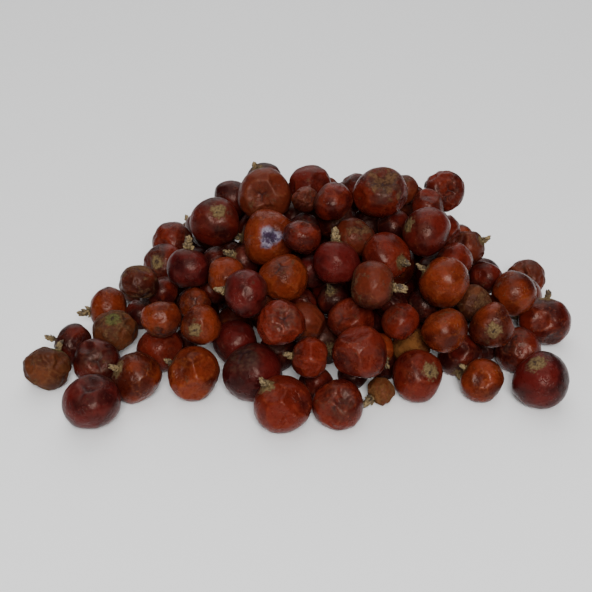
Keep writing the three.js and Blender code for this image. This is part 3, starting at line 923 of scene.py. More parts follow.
# %% Hollows between ridges, and wrinkles
WAVER_SCALE, WAVER = 1.6, 0.45
CAVED_SCALE, CAVED_FROM, CAVED_TO, CAVED_LEAST = 0.9, 0.42, 0.54, 0.12
HOLLOW_RIM, HOLLOW_BOTTOM = 0.01, 0.24
WRINKLE_SCALE, WRINKLE_DETAIL = 2.6, 3.0

seeded = vector_maths("ADD", way, scaled(SHAPE_SEED_STEP, given["Seed"]))
waver = scaled(noise(seeded, WAVER_SCALE, output="Color"), WAVER)
wavering = vector_maths("ADD", seeded, waver)
cells = {"Vector": wavering, "Scale": given["Hollow Scale"]}
from_ridge = make("ShaderNodeTexVoronoi", cells, "Distance", feature="DISTANCE_TO_EDGE")
caved = ramp(noise(seeded, CAVED_SCALE), CAVED_FROM, CAVED_TO, CAVED_LEAST, 1.0)
hollow_part = ramp(from_ridge, HOLLOW_RIM, HOLLOW_BOTTOM) * caved * given["Hollow Depth"]
hollow_ridge = ramp(from_ridge, 0.0, RIDGE_WIDTH, 1.0, 0.0) * caved
wrinkle = noise(seeded, WRINKLE_SCALE, WRINKLE_DETAIL) - WRINKLE_LEVEL
wrinkle_part = maths("MAXIMUM", wrinkle, 0.0) * WRINKLE_DEPTH

# %% Seams at the apex
SEAM_WIDTH = 0.10
SEAM_FADE, SEAM_END = 0.2, 0.55
SHALLOWEST_DARK_SEAM = 0.03
JUST_OVER_ONE = 1.0001

third = math.pi / LOBES
seam_turn = maths("PINGPONG", around + phase / LOBES - third, third)
from_pole = maths("SQRT", JUST_OVER_ONE - y_square)
beside_seam = from_pole * maths("SINE", seam_turn)
at_apex = ramp(from_pole, SEAM_FADE, SEAM_END, 1.0, 0.0) * maths("LESS_THAN", y, 0.0)
seam = ramp(beside_seam, 0.0, SEAM_WIDTH, 1.0, 0.0) * at_apex
seam_part = seam * given["Seam Depth"]
seam_dark = seam * ramp(given["Seam Depth"], 0.0, SHALLOWEST_DARK_SEAM)

# %% [markdown]
# Where the skin lies flat it looks cut with a knife: a facet. A facet is a plane that takes a
# slice off the ball, and where two of them meet there is a crisp ridge. Three facets are enough
# for a berry. The deepest of the three counts at each point, and where the two deepest are
# nearly equal, that point is on a ridge.

# %% Facets and the ridges between them
FACET_DISH = 1.15
FACET_RIDGE = 0.014
FACET_WAVE, FACET_WAVE_SCALE = 0.10, 1.8
HOLLOW_RIDGE = 0.5

wave = scaled(noise(seeded, FACET_WAVE_SCALE, output="Color"), FACET_WAVE)
waved = vector_maths("SUBTRACT", vector_maths("ADD", way, wave), (FACET_WAVE / 2,) * 3)
cuts = [0.0]
for number, rim in enumerate(xyz(given["Facet Rims"]), start=1):
    facing_facet = vector_maths("DOT_PRODUCT", waved, given[f"Facet Way {number}"])
    cuts.append((facing_facet - rim) * FACET_DISH)
deeper = [maths("MAXIMUM", *cuts[:2]), maths("MAXIMUM", *cuts[2:])]
shallower = [maths("MINIMUM", *cuts[:2]), maths("MINIMUM", *cuts[2:])]
facet_part = maths("MAXIMUM", *deeper)
second_part = maths("MAXIMUM", maths("MINIMUM", *deeper), maths("MAXIMUM", *shallower))
facet_ridge = ramp(facet_part - second_part, 0.0, FACET_RIDGE, 1.0, 0.0)
ridge = maths("MAXIMUM", hollow_ridge * HOLLOW_RIDGE, facet_ridge)

# %% From the unit ball to the berry in its place
inward = flat_part + lobe_part + dent_part + pole_part
inward = inward + hollow_part + wrinkle_part + seam_part + facet_part
kept = ball
for title, data_type, value in (
    ("skin_place", "FLOAT_VECTOR", way),
    ("skin_ridge", "FLOAT", ridge),
    ("skin_seam", "FLOAT", seam_dark),
):
    store = {"Name": title, "Geometry": kept, "Value": value}
    kept = make("GeometryNodeStoreNamedAttribute", store, data_type=data_type, domain="POINT")
push = make("GeometryNodeSetPosition", {"Geometry": kept, "Position": scaled(way, 1.0 - inward)})
put_down(push, given["Radius"], given["Skin"])
berry_tree = tree
print("berry tree:", len(tree.nodes), "nodes")

# %% [markdown]
# ## The stalk stub
# Where a berry was picked with a bit of stalk, the stalk is clad in small pale scales that go up
# it in a spiral. The lowest ones lie flat on the skin and the upper ones stand up. That is a
# textbook case for instances: one scale with a few dozen faces, a point for each place in the
# spiral, and a rotation that grows steeper with height. A thin twig runs up the middle. The tree
# stands on its local +Z, and the measures below are shares of the size of a scale.

# %% The scale and its spiral
SCALES = 24
SCALE_SEGMENTS, SCALE_RINGS = 7, 6
SCALE_TURN = math.radians(67)
SCALE_LENGTH = 0.80
SCALE_WIDTH = 0.36
SCALE_THICKNESS = 0.20
SCALE_CURL = 0.35
ROOT_WIDTH, TIP_NARROWER = 1.15, 0.40
LOWEST_TILT = math.radians(80)
HIGHEST_TILT = math.radians(30)
LOWEST_SINK = 0.45
STEM_RADIUS = 0.22
TWIG_TOP, TWIG_FOOT = 0.26, 0.45
TILT_JITTER, TURN_JITTER, SIZE_JITTER = 0.30, 0.35, 0.25

tree, given, result = new_tree(
    "stalk_stub",
    "GeometryNodeTree",
    [
        ("Length", FLOAT, 0.0022),
        ("Root", FLOAT, 0.0042),
        ("Scales", WHOLE, SCALES),
        ("Scale Size", FLOAT, 0.001),
        ("Seed", WHOLE, 0),
        ("Turn", VECTOR, (0, 0, 0)),
        ("Place", VECTOR, (0, 0, 0)),
        ("Bark", FINISH, None),
    ],
    [("Mesh", SHAPE)],
)
leaf_faces = {"Segments": SCALE_SEGMENTS, "Rings": SCALE_RINGS, "Radius": 1.0}
leaf = make("GeometryNodeMeshUVSphere", leaf_faces)
x, y, z = xyz(position())
up = (z + 1.0) * 0.5
leaf_x = x * SCALE_WIDTH * (ROOT_WIDTH - up * TIP_NARROWER)
leaf_y = y * SCALE_THICKNESS - up * up * SCALE_CURL
leaf_at = from_xyz(leaf_x, leaf_y, up * SCALE_LENGTH)
shaped = make("GeometryNodeSetPosition", {"Geometry": leaf, "Position": leaf_at})

scale_size = given["Scale Size"]
index = make("GeometryNodeInputIndex")
share = index / (given["Scales"] - 1.0)
jitter = make(
    "FunctionNodeRandomValue",
    {
        "Min": (-TILT_JITTER, -TURN_JITTER, 1 - SIZE_JITTER),
        "Max": (TILT_JITTER, TURN_JITTER, 1 + SIZE_JITTER),
        "Seed": given["Seed"],
    },
    data_type="FLOAT_VECTOR",
)
tilt_jitter, turn_jitter, size_jitter = xyz(jitter)
turn = index * SCALE_TURN + turn_jitter
height = given["Root"] + given["Length"] * share - scale_size * LOWEST_SINK
stem = scale_size * STEM_RADIUS
spot = from_xyz(maths("COSINE", turn) * stem, maths("SINE", turn) * stem, height)
spiral = make("GeometryNodePoints", {"Count": given["Scales"], "Position": spot})

# %% Scales on the spiral, twig and finish
tilt = (ramp(share, 0.0, 1.0, LOWEST_TILT, HIGHEST_TILT) + tilt_jitter) * -1.0
scatter = make(
    "GeometryNodeInstanceOnPoints",
    {
        "Points": spiral,
        "Instance": shaped,
        "Rotation": from_xyz(tilt, 0.0, turn - math.pi / 2),
        "Scale": size_jitter * scale_size,
    },
)
real = make("GeometryNodeRealizeInstances", {"Geometry": scatter})
twig = make(
    "GeometryNodeMeshCone",
    {
        "Vertices": 8,
        "Radius Top": scale_size * TWIG_TOP,
        "Radius Bottom": scale_size * TWIG_FOOT,
        "Depth": given["Length"] + scale_size,
    },
)
twig_foot = from_xyz(0.0, 0.0, given["Root"] - scale_size)
raised = make("GeometryNodeTransform", {"Geometry": twig, "Translation": twig_foot})
together = whole_node("GeometryNodeJoinGeometry", {"Geometry": real})
plug(together.inputs["Geometry"], raised)
put_down(together.outputs[0], (1.0, 1.0, 1.0), given["Bark"])
stub_tree = tree
print("stub tree:", len(tree.nodes), "nodes")

# %% [markdown]
# ## The finish of the skin
# Dried juniper skin is satin: not matt like paper and not wet. Its colour runs from near-black
# plum through red to amber, often on one berry, with pale ridges that are partly a painted
# highlight, a grey-brown bloom towards the ends, brown crumbs that gather there, resin specks,
# fine pale veins and dark seams at the apex.
# Six tones of berry share these effects, so they live in one shader group, which gives a colour,
# a roughness and a height. It reads the place on the ball that the berry tree kept, so the
# pattern sits on each berry and turns with it, and a seed for each berry makes it differ.

# %% The shader group
SKIN_SEED_STEP = (31.0, 57.0, 13.0)

tree, given, result = new_tree(
    "dried_juniper_skin",
    "ShaderNodeTree",
    [
        ("Place", VECTOR, (0, 0, 0)),
        ("Ridge", FLOAT, 0.0),
        ("Seam", FLOAT, 0.0),
        ("Traits", VECTOR, (0, 0, 0)),
        ("Marks And Shade", VECTOR, (0, 0, 0)),
        ("Deep", COLOUR, (0.1, 0.02, 0.01, 1)),
        ("Bright", COLOUR, (0.3, 0.05, 0.02, 1)),
        ("Ridge Colour And Highlight", COLOUR, (0.4, 0.15, 0.07, 1)),
        ("Dusk", COLOUR, (0.020, 0.0070, 0.0060, 1)),
        ("Bloom Colour", COLOUR, (0.046, 0.024, 0.015, 1)),
        ("Crumb", COLOUR, (0.098, 0.048, 0.022, 1)),
        ("Ochre", COLOUR, (0.160, 0.056, 0.012, 1)),
        ("Frost Colour", COLOUR, (0.200, 0.178, 0.225, 1)),
        ("Scar Colour", COLOUR, (0.135, 0.090, 0.040, 1)),
        ("Satin", FLOAT, 0.38),
    ],
    [("Colour", COLOUR), ("Roughness", FLOAT), ("Height", FLOAT)],
)
seed, crust, bloom = xyz(given["Traits"])
frost, scar, glow = xyz(given["Marks And Shade"])
x, y, z = xyz(given["Place"])
spot = vector_maths("ADD", given["Place"], scaled(SKIN_SEED_STEP, seed))

cloud = noise(spot, 0.8, 1.0) + (noise(spot, 2.4, 3.0) - 0.5) * 0.28
# The berry's lighter or darker setting moves it towards its deep or bright colour: partly the berry's own
# tone, partly painted shade for berries deep in the heap and in the gaps.
colour = blend(ramp(cloud + glow, 0.30, 0.64), given["Deep"], given["Bright"])
mottle = noise(spot, 6.5, 5.0, 0.6)
mottled = scaled(colour, ramp(mottle, 0.3, 0.7, 0.86, 1.12))
# Pale ridges: partly the skin's own paler ridge, partly a painted highlight along the ridge line.
colour = blend(given["Ridge"] * 0.42, mottled, given["Ridge Colour And Highlight"])

# %% Veins, specks and dark blotches
SPECK = (0.30, 0.18, 0.09, 1)

vein_where = ramp(noise(spot, 1.9), 0.50, 0.62)
vein = ramp(abs(noise(spot, 2.6, 3.0) - 0.5), 0.0, 0.012, 1.0, 0.0) * vein_where
colour = blend(vein * 0.60, colour, given["Ridge Colour And Highlight"])
speck_cells = whole_node("ShaderNodeTexVoronoi", {"Vector": spot, "Scale": 9.0}).outputs
speck_size = xyz(speck_cells["Color"])[0] * 0.13
speck = maths("LESS_THAN", speck_cells["Distance"], speck_size - 0.04)
colour = blend(speck * 0.60, colour, SPECK)
blotch = ramp(noise(spot, 1.7, 4.0, 0.60), 0.58, 0.68)
colour = blend(blotch * 0.14, colour, given["Dusk"])

# %% Shoulders, seams and crumbs
SEAM_COLOUR = (0.014, 0.007, 0.008, 1)
CRUMB_SHADE = (0.45, 0.36, 0.34)

shoulder = ramp(abs(y), 0.50, 0.98)
ragged = ramp(noise(spot, 3.4, 5.0, 0.65), 0.38, 0.62, 0.25, 1.0)
bloom_here = shoulder * ragged * bloom
bloom_colour = blend(ramp(mottle, 0.38, 0.62), given["Dusk"], given["Bloom Colour"])
colour = blend(bloom_here, colour, bloom_colour)
colour = blend(given["Seam"] * 0.75, colour, SEAM_COLOUR)
crumb_level = noise(spot, 2.3, 7.0, 0.68) + shoulder * 0.04 + crust * (shoulder * 0.34 + 0.20)
crumbs = ramp(crumb_level, 0.64, 0.74)
crumb_grain = noise(spot, 9.0, 4.0, 0.65)
crumb_shade = vector_maths("MULTIPLY", given["Crumb"], CRUMB_SHADE)
crumb_colour = blend(ramp(crumb_grain, 0.36, 0.60), crumb_shade, given["Crumb"])
crumb_colour = blend(ramp(glow, 0.20, 0.34, 0.0, 0.75), crumb_colour, given["Ochre"])
colour = blend(crumbs * 0.85, colour, crumb_colour)

# %% A frosted apex and a stalk scar
FROST_DEEP = (0.022, 0.014, 0.038, 1)
FROST_SEAM = (0.012, 0.007, 0.020, 1)
SCAR_SHADE = (0.42, 0.36, 0.34)
SCAR_PIT = (0.025, 0.013, 0.010, 1)

from_pole = maths("SQRT", JUST_OVER_ONE - y * y)
uneven = (noise(spot, 7.0, 4.0, 0.6) - 0.5) * 0.55
lobed = maths("COSINE", maths("ARCTAN2", z, x) * LOBES)
frost_edge = from_pole + uneven * 0.65 - lobed * 0.06
frost_here = ramp(frost_edge, 0.30, 0.46, 0.92, 0.0) * frost * maths("LESS_THAN", y, 0.0)
frost_veins = ramp(frost_edge + uneven * 1.9, 0.12, 0.46)
frost_colour = blend(frost_veins, FROST_DEEP, given["Frost Colour"])
frost_colour = blend(given["Seam"] * 0.9, frost_colour, FROST_SEAM)
colour = blend(frost_here, colour, frost_colour)
scar_edge = from_pole + uneven * 1.1
scar_side = maths("GREATER_THAN", y * scar, 0.0)
scar_here = ramp(scar_edge, 0.26, 0.42, 1.0, 0.0) * scar_side * abs(scar)
scar_shade = vector_maths("MULTIPLY", given["Scar Colour"], SCAR_SHADE)
scar_fibres = blend(ramp(crumb_grain, 0.30, 0.66), scar_shade, given["Scar Colour"])
scar_colour = blend(ramp(scar_edge, 0.05, 0.12), SCAR_PIT, scar_fibres)
plug(result["Colour"], blend(scar_here, colour, scar_colour))

# %% Roughness and height
broken = maths("MAXIMUM", crumbs, maths("MAXIMUM", frost_here, scar_here))
rough = given["Satin"] + ramp(mottle, 0.3, 0.7, -0.05, 0.07) + bloom_here * 0.12
plug(result["Roughness"], rough + broken * 0.38)
leather = noise(spot, 9.0, 4.0, 0.55) * 0.30
crease = ramp(abs(noise(spot, 3.4, 2.0) - 0.5), 0.0, 0.05, 0.35, 0.0)
bumps = leather + crease * vein_where + speck * 0.25
plug(result["Height"], bumps + broken * (crumb_grain * 0.9 + 0.15))
skin_group = tree
print("skin group:", len(tree.nodes), "nodes")

# %% [markdown]
# Each tone is its own material: the group with the tone's colours, into a Principled shader. The
# traits of a berry (its seed, how crumbly it is, how much bloom it has) and its marks and shade
# (frost at the apex, a stalk scar, and how bright its colour is, which also holds painted shade for
# berries deep in the heap and in the gaps) come as attributes too. The scar of an olive berry is
# mossy. The sheen is faint and warm, because the bloom on a dry skin dulls and tints it.

# %% Six tones of skin
# Each tone: deep colour, bright colour, the ridge colour that is partly a painted highlight, and satin
# roughness.
TONES = {
    "dark": [(0.019, 0.0024, 0.0022), (0.072, 0.0062, 0.0036), (0.13, 0.030, 0.014), 0.31],
    "plum": [(0.018, 0.0021, 0.0024), (0.066, 0.0052, 0.0044), (0.12, 0.022, 0.017), 0.31],
    "red": [(0.026, 0.0028, 0.0023), (0.090, 0.0080, 0.0036), (0.19, 0.036, 0.015), 0.29],
    "amber": [(0.036, 0.0044, 0.0022), (0.116, 0.0155, 0.0046), (0.22, 0.058, 0.018), 0.28],
    "brown": [(0.027, 0.0042, 0.0026), (0.080, 0.0122, 0.0054), (0.14, 0.044, 0.018), 0.37],
    "olive": [(0.035, 0.0076, 0.0030), (0.086, 0.0220, 0.0072), (0.16, 0.068, 0.026), 0.50],
}
MOSS = (0.085, 0.080, 0.026, 1)
BUMP_DEPTH = 0.00035
BUMP_STRENGTH = 0.55
SHEEN_LEVEL = 0.150
SHEEN_TINT = (1.0, 0.74, 0.62, 1)
KEPT = (
    ("Place", "skin_place", "Vector"),
    ("Ridge", "skin_ridge", "Fac"),
    ("Seam", "skin_seam", "Fac"),
    ("Traits", "skin_traits", "Vector"),
    ("Marks And Shade", "skin_marks_and_shade", "Vector"),
)

skins = {}
for tone, (deep, bright, ridge_colour_and_highlight, satin) in TONES.items():
    skins[tone] = bpy.data.materials.new(f"{tone}_berry_skin")
    skins[tone].use_nodes = True
    tree = skins[tone].node_tree
    skin_inputs = {
        "Deep": (*deep, 1),
        "Bright": (*bright, 1),
        "Ridge Colour And Highlight": (*ridge_colour_and_highlight, 1),
        "Satin": satin,
    }
    if tone == "olive":
        skin_inputs["Scar Colour"] = MOSS
    for title, name, output in KEPT:
        skin_inputs[title] = make("ShaderNodeAttribute", output=output, attribute_name=name)
    skin = whole_node("ShaderNodeGroup", skin_inputs, node_tree=skin_group).outputs
    bump_inputs = {"Strength": BUMP_STRENGTH, "Distance": BUMP_DEPTH, "Height": skin["Height"]}
    for title, value in (
        ("Specular IOR Level", SHEEN_LEVEL),
        ("Specular Tint", SHEEN_TINT),
        ("Base Color", skin["Colour"]),
        ("Roughness", skin["Roughness"]),
        ("Normal", make("ShaderNodeBump", bump_inputs)),
    ):
        plug(tree.nodes["Principled BSDF"].inputs[title], value)
print("skins:", ", ".join(skins))

# %% [markdown]
# The scales of the stalk are dead and papery: straw colour with brown patches, quite matt, and
# with a fine grain.

# %% Straw scales
STRAW_LIGHT = (0.19, 0.128, 0.053, 1)
STRAW_DARK = (0.034, 0.018, 0.008, 1)
STRAW_ROUGHNESS = 0.72
GRAIN_STRENGTH = 0.5
GRAIN_DEPTH = 0.0001

straw = bpy.data.materials.new("straw_scales")
straw.use_nodes = True
tree = straw.node_tree
coordinates = make("ShaderNodeTexCoord", output="Object")
grain = noise(coordinates, 4200.0, 2.0)
straw_mix = noise(coordinates, 900.0, 3.0, 0.6) + (grain - 0.5) * 0.5
bump_inputs = {"Strength": GRAIN_STRENGTH, "Distance": GRAIN_DEPTH, "Height": grain}
for title, value in (
    ("Roughness", STRAW_ROUGHNESS),
    ("Base Color", blend(ramp(straw_mix, 0.36, 0.60), STRAW_DARK, STRAW_LIGHT)),
    ("Normal", make("ShaderNodeBump", bump_inputs)),
):
    plug(tree.nodes["Principled BSDF"].inputs[title], value)
print("straw scales:", len(tree.nodes), "nodes")

# %% [markdown]
# ## What sets the berries apart
# Most of the berries that show have a character of their own: badly caved in, crumbly all over,
# frosted, darker or brighter than their tone, the darker ones partly as painted shade. Each trait
# has its own short list, by the berry's row in the list above, counted from 0. What isn't listed is
# drawn at random, within what the berry's tone usually has, and berries deep in the heap are made
# darker still as painted shade.

# %% Character of each berry
CHARACTER_SEED = 5203
FACET_SEED = 6089
HOLLOW_SHARES = {"dark": 0.03, "plum": 0.02, "red": 0.035, "amber": 0.03, "brown": 0.05, "olive": 0.05}
CRUST_SHARES = {"dark": 0.02, "plum": 0.0, "red": 0.03, "amber": 0.06, "brown": 0.10, "olive": 0.55}
# Berries this far behind the face, and the hidden ones inside, get painted shade: their colour is made
# darker by the amount below.
DEEP_BEHIND = 5
INNER_PAINTED_SHADE = 0.15
SHARE_LEAST = 0.5
BLOOM_LEAST, BLOOM_SPREAD = 0.25, 0.5
GLOW_SPREAD = 0.16
CELLS_LEAST, CELLS_SPREAD = 1.0, 0.8
APEX_SEAM, OTHER_SEAM = 0.05, 0.03
MOST_FACETS = 3
FACET_LEAST, FACET_MOST = 0.34, 0.62
CHARACTERS = {
    "hollow": {
        4: 0.08, 6: 0.03, 9: 0.012, 11: 0.012, 16: 0.012, 17: 0.012, 18: 0.03, 19: 0.012, 24: 0.01,
        26: 0.012, 32: 0.1, 33: 0.08, 35: 0.02, 36: 0.01, 50: 0.06, 52: 0.02, 54: 0.015, 55: 0.012,
        56: 0.12, 57: 0.01, 64: 0.02, 65: 0.05, 66: 0.01, 68: 0.02, 70: 0.11, 73: 0.03, 74: 0.012,
        76: 0.01, 77: 0.01, 79: 0.08, 80: 0.01, 81: 0.02, 82: 0.03,
    },
    "crust": {
        6: 0.1, 9: 0.32, 18: 0.3, 32: 0.0, 33: 0.5, 35: 0.34, 56: 0.42, 61: 0.9, 70: 0.34, 79: 0.8,
    },
    "seed": {56: 0.62},
    "bloom": {
        1: 0.3, 6: 0.3, 8: 0.6, 9: 1.0, 11: 0.3, 16: 0.1, 18: 0.5, 19: 0.15, 24: 0.9, 25: 0.3, 26: 0.2,
        29: 0.5, 35: 0.6, 36: 0.1, 39: 0.1, 50: 0.7, 54: 0.2, 55: 0.3, 64: 0.9, 66: 0.2, 71: 0.9,
        73: 0.4, 74: 0.2, 75: 0.2, 76: 0.1, 77: 0.0, 80: 0.2, 81: 0.2,
    },
    # Partly painted shade: these values set how bright each berry's colour is, and the darkest ones, rows
    # 23, 30, 47, 69, 72 and 83, stand in for the shade deep in the heap and in its gaps.
    "glow": {
        0: -0.15, 1: 0.06, 3: 0.12, 4: 0.04, 6: 0.2, 8: -0.02, 9: 0.02, 11: 0.0, 15: 0.0, 16: 0.08,
        17: -0.05, 18: 0.04, 19: 0.08, 23: -0.12, 24: -0.05, 25: 0.12, 26: 0.1, 28: 0.12, 29: 0.22,
        30: -0.12, 32: 0.04, 33: -0.12, 35: 0.06, 36: 0.03, 39: 0.0, 47: -0.12, 49: -0.02, 50: 0.1,
        52: 0.1, 53: 0.1, 54: -0.1, 55: -0.05, 56: 0.02, 57: 0.0, 58: -0.12, 60: 0.14, 61: 0.4, 62: 0.2,
        64: 0.0, 65: 0.05, 66: 0.02, 68: -0.08, 69: -0.25, 70: -0.12, 71: -0.04, 72: -0.25, 73: 0.05,
        74: 0.08, 75: -0.12, 76: 0.02, 77: -0.06, 79: 0.27, 80: -0.02, 81: 0.12, 82: 0.05, 83: -0.25,
    },
    "cells": {33: 1.4, 56: 1.3, 70: 1.4, 79: 1.5},
    "pole": {4: 0.1, 9: 0.1},
    "seam": {4: 0.16, 9: 0.03, 52: 0.02, 66: 0.0, 82: 0.02},
    "frost": {16: 1.0},
    "scar": {55: -1.0},
    "skin": {4: "red", 35: "brown"},
}

# %% [markdown]
# The facets that the photograph shows are listed in the same way: the berry's row, then for each
# facet where its middle shows on the sheet and how wide it is, as the angle from its middle to
# its rim. The other berries draw up to three.

# %% Facets of each berry
SEEN_FACETS = {
    4: [[30.6, 21.8, 0.45], [32.0, 19.4, 0.40]],
    6: [[-7.2, 20.4, 0.62], [-3.4, 22.6, 0.45], [-6.0, 16.6, 0.40]],
    9: [[17.4, 24.4, 0.62], [12.6, 19.4, 0.42], [21.8, 18.6, 0.42]],
    11: [],
    16: [],
    19: [],
    24: [],
    26: [[22.0, 6.6, 0.45]],
    36: [],
    50: [[-2.4, -3.4, 0.50], [-4.4, -7.2, 0.42], [-1.0, -8.4, 0.40]],
    52: [[9.8, -3.0, 0.60], [15.0, -6.2, 0.50], [11.2, -9.4, 0.42]],
    54: [[49.0, -4.8, 0.42], [51.6, -8.8, 0.40]],
    57: [],
    64: [[42.2, -10.4, 0.34], [45.6, -10.8, 0.40]],
    65: [[1.4, -10.6, 0.50], [4.6, -10.8, 0.50], [3.0, -14.8, 0.48]],
    66: [[11.6, -6.8, 0.62], [9.8, -13.4, 0.62], [15.4, -12.8, 0.52]],
    68: [[-39.6, -14.0, 0.36], [-42.0, -9.8, 0.42]],
    73: [[-18.2, -14.0, 0.46], [-22.8, -15.2, 0.52], [-20.4, -19.4, 0.50]],
    74: [],
    76: [[36.8, -16.6, 0.46]],
    77: [],
    80: [[-41.4, -17.0, 0.45]],
    81: [[0.2, -21.0, 0.55], [-3.0, -24.2, 0.52], [-4.4, -19.0, 0.45]],
    82: [[9.8, -20.2, 0.52], [6.4, -24.0, 0.52], [5.4, -19.4, 0.42]],
}

character_draw = drawer(CHARACTER_SEED)
for row, berry in enumerate(berries):
    drawn = [character_draw() for _ in range(5)]
    character = {
        "hollow": HOLLOW_SHARES[berry.tone] * (SHARE_LEAST + drawn[0]),
        "crust": CRUST_SHARES[berry.tone] * (SHARE_LEAST + drawn[1]),
        "seed": drawn[2],
        "bloom": BLOOM_LEAST + BLOOM_SPREAD * drawn[3],
        "glow": GLOW_SPREAD * (drawn[4] - 0.5),
        "cells": CELLS_LEAST + CELLS_SPREAD * drawn[2],
        "pole": POLE_DEPTH,
        "seam": APEX_SEAM if berry.mark == "apex" else OTHER_SEAM,
        "frost": 0.0,
        "scar": 1.0 if berry.mark == "scar" or berry.stub > 0 else 0.0,
        "skin": berry.tone,
    }
    # Painted shade: berries deep in the heap are made darker, standing in for the shade that the berries
    # round them cast.
    deep_in_shade = berry.behind >= DEEP_BEHIND if berry.seen else not berry.on_slope
    if deep_in_shade:
        character["glow"] -= INNER_PAINTED_SHADE
    for trait, value in character.items():
        setattr(berry, trait, CHARACTERS[trait].get(row, value))


def local_way(berry, way):
    """A direction of the frame as the berry's own tree sees it."""
    turned = STALK_WAY.rotation_difference(Vector(berry.axis)).to_matrix()
    return turned.transposed() @ Vector(way)


def seen_facet(berry, across, up, reach):
    """A facet whose middle shows at a place on the sheet, as a way and the height of its rim."""
    berry.mark_line = sight_line(across, up)
    to_middle = unit(minus(touch_point(berry), berry.at))
    return tuple(local_way(berry, to_middle)), math.cos(reach)


STALK_WAY = Vector((0, 1, 0))
facet_draw = drawer(FACET_SEED)
for row, berry in enumerate(berries):
    berry.facets = []
    for _ in range(math.floor(facet_draw() * (MOST_FACETS + 1))):
        reach = FACET_LEAST + (FACET_MOST - FACET_LEAST) * facet_draw()
        berry.facets.append((tuple(random_unit(facet_draw)), math.cos(reach)))
    if row in SEEN_FACETS:
        berry.facets = [seen_facet(berry, *facet) for facet in SEEN_FACETS[row]]
print("facets:", sum(len(berry.facets) for berry in berries))
print("mean hollow:", round(sum(b.hollow for b in berries) / len(berries), 3), "of a radius")

# %% [markdown]
# ## Making the berries
# Every berry becomes an object with the tree as its modifier, and its inputs are set by their
# identifiers before anything is evaluated. One evaluation then makes all of them at once, and
# each result is kept as a plain mesh. The turn is the shortest arc from the local stalk axis to
# the berry's own, the same as in the CAD.

# %% Berries from the tree
SEEN_DETAIL = 5
HIDDEN_DETAIL = 4
SKIN_SWELL = 1.045
STUB_CORE = 0.80
STUB_ROOT = 0.90
SCALE_SHARE = 0.90
NO_FACET = ((0.0, 0.0, 0.0), 0.9)
UP = Vector((0, 0, 1))


def with_tree(name, group, values):
    """An object whose modifier runs a tree with these input values."""
    holder = bpy.data.objects.new(name, bpy.data.meshes.new(name))
    bpy.context.scene.collection.objects.link(holder)
    modifier = holder.modifiers.new(name, "NODES")
    modifier.node_group = group
    for item in group.interface.items_tree:
        if item.in_out == "INPUT" and item.name in values:
            modifier[item.identifier] = values[item.name]
    return holder


def berry_inputs(berry):
    facets = berry.facets + [NO_FACET] * (MOST_FACETS - len(berry.facets))
    turn = STALK_WAY.rotation_difference(Vector(berry.axis)).to_euler()
    return {
        "Radius": berry.radius * SKIN_SWELL * MM,
        "Subdivisions": SEEN_DETAIL if berry.seen else HIDDEN_DETAIL,
        "Lobe Phase": berry.phase,
        "Dent Way": tuple(berry.dent),
        "Hollow Depth": berry.hollow,
        "Hollow Scale": berry.cells,
        "Pole Depth": berry.pole,
        "Seam Depth": berry.seam,
        "Facet Way 1": facets[0][0],
        "Facet Way 2": facets[1][0],
        "Facet Way 3": facets[2][0],
        "Facet Rims": tuple(rim for way, rim in facets),
        "Seed": berry.seed,
        "Turn": tuple(turn),
        "Place": tuple(in_frame(berry.at)),
        "Skin": skins[berry.skin],
    }


def stub_inputs(berry, number):
    axis = Vector(berry.axis)
    return {
        "Length": STUB_LENGTH * berry.stub * MM * STUB_CORE,
        "Root": berry.radius * STUB_ROOT * MM,
        "Scale Size": STUB_SPREAD * berry.stub * MM * SCALE_SHARE,
        "Seed": number,
        "Turn": tuple(UP.rotation_difference(axis).to_euler()),
        "Place": tuple(in_frame(berry.at)),
        "Bark": straw,
    }


for number, berry in enumerate(berries):
    berry.holder = with_tree(f"berry_{number:03d}", berry_tree, berry_inputs(berry))
    berry.stub_holder = None
    if berry.stub > 0:
        berry.stub_holder = with_tree(f"stub_{number:03d}", stub_tree, stub_inputs(berry, number))
bpy.context.view_layer.update()
depsgraph = bpy.context.evaluated_depsgraph_get()


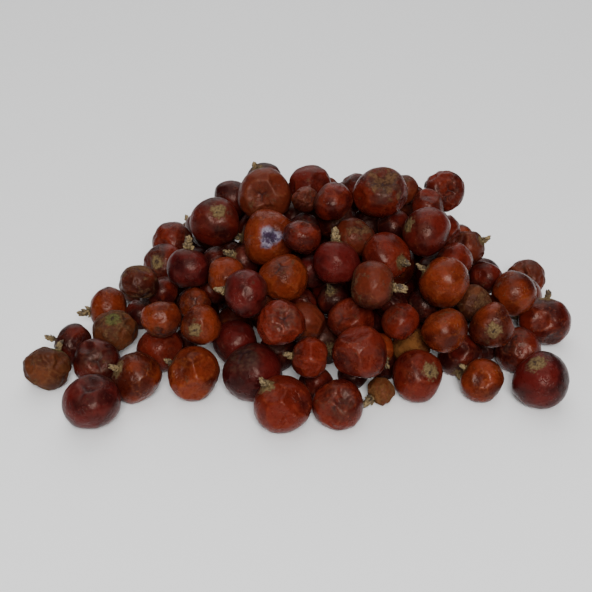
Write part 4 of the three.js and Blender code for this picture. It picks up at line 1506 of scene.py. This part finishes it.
def plain_copy(holder):
    """The evaluated shape as a plain mesh of its own."""
    return bpy.data.meshes.new_from_object(holder.evaluated_get(depsgraph), depsgraph=depsgraph)


for berry in berries:
    berry.mesh = plain_copy(berry.holder)
    berry.stub_mesh = plain_copy(berry.stub_holder) if berry.stub_holder else None
for berry in berries:
    for holder in (berry.holder, berry.stub_holder):
        if holder:
            bpy.data.objects.remove(holder)
print("made", len(berries), "berries,", sum(len(b.mesh.polygons) for b in berries), "faces")

# %% [markdown]
# The traits are the same all over a berry, so they are written to its points afterwards, the same
# two sets of three numbers for every point. Then the berries of a bunch are joined into one plain
# mesh, which rides on the body and replaces its CAD node.

# %% Traits, bunches and their CAD nodes
def write_traits(berry):
    points = len(berry.mesh.vertices)
    for title, values in (
        ("skin_traits", (berry.seed, berry.crust, berry.bloom)),
        ("skin_marks_and_shade", (berry.frost, berry.scar, berry.glow)),
    ):
        kept = berry.mesh.attributes.new(title, "FLOAT_VECTOR", "POINT")
        kept.data.foreach_set("vector", np.tile(np.array(values, dtype=np.float32), points))


def joined(name, meshes):
    """One object from several meshes, joined by Blender's own Join."""
    parts = []
    for part_mesh in meshes:
        part = bpy.data.objects.new(name, part_mesh)
        bpy.context.scene.collection.objects.link(part)
        parts.append(part)
    if len(parts) > 1:
        with bpy.context.temp_override(
            active_object=parts[0], object=parts[0], selected_objects=parts, selected_editable_objects=parts
        ):
            bpy.ops.object.join()
    return parts[0]


faces = 0
for name, group in bunches.items():
    for berry in group:
        write_traits(berry)
    meshes = [berry.mesh for berry in group]
    meshes += [berry.stub_mesh for berry in group if berry.stub_mesh]
    bunch = joined(f"bunch_{name}", meshes)
    bunch.data.name = bunch.name
    faces += len(bunch.data.polygons)
    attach(bunch, "root")
    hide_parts(name)
print("bunches:", len(bunches), "with", faces, "faces")

# %% [markdown]
# ## Sizes
# Blender must not change the object's size. The box of the CAD and the box of the dressed part
# are written side by side.

# %% Write the sizes and finish
final_bounds = [list(corner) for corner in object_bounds()]
for label, (low, high) in (("CAD", cad_bounds), ("dressed", final_bounds)):
    print(label, [round(value / MM, 2) for value in low], [round(value / MM, 2) for value in high])
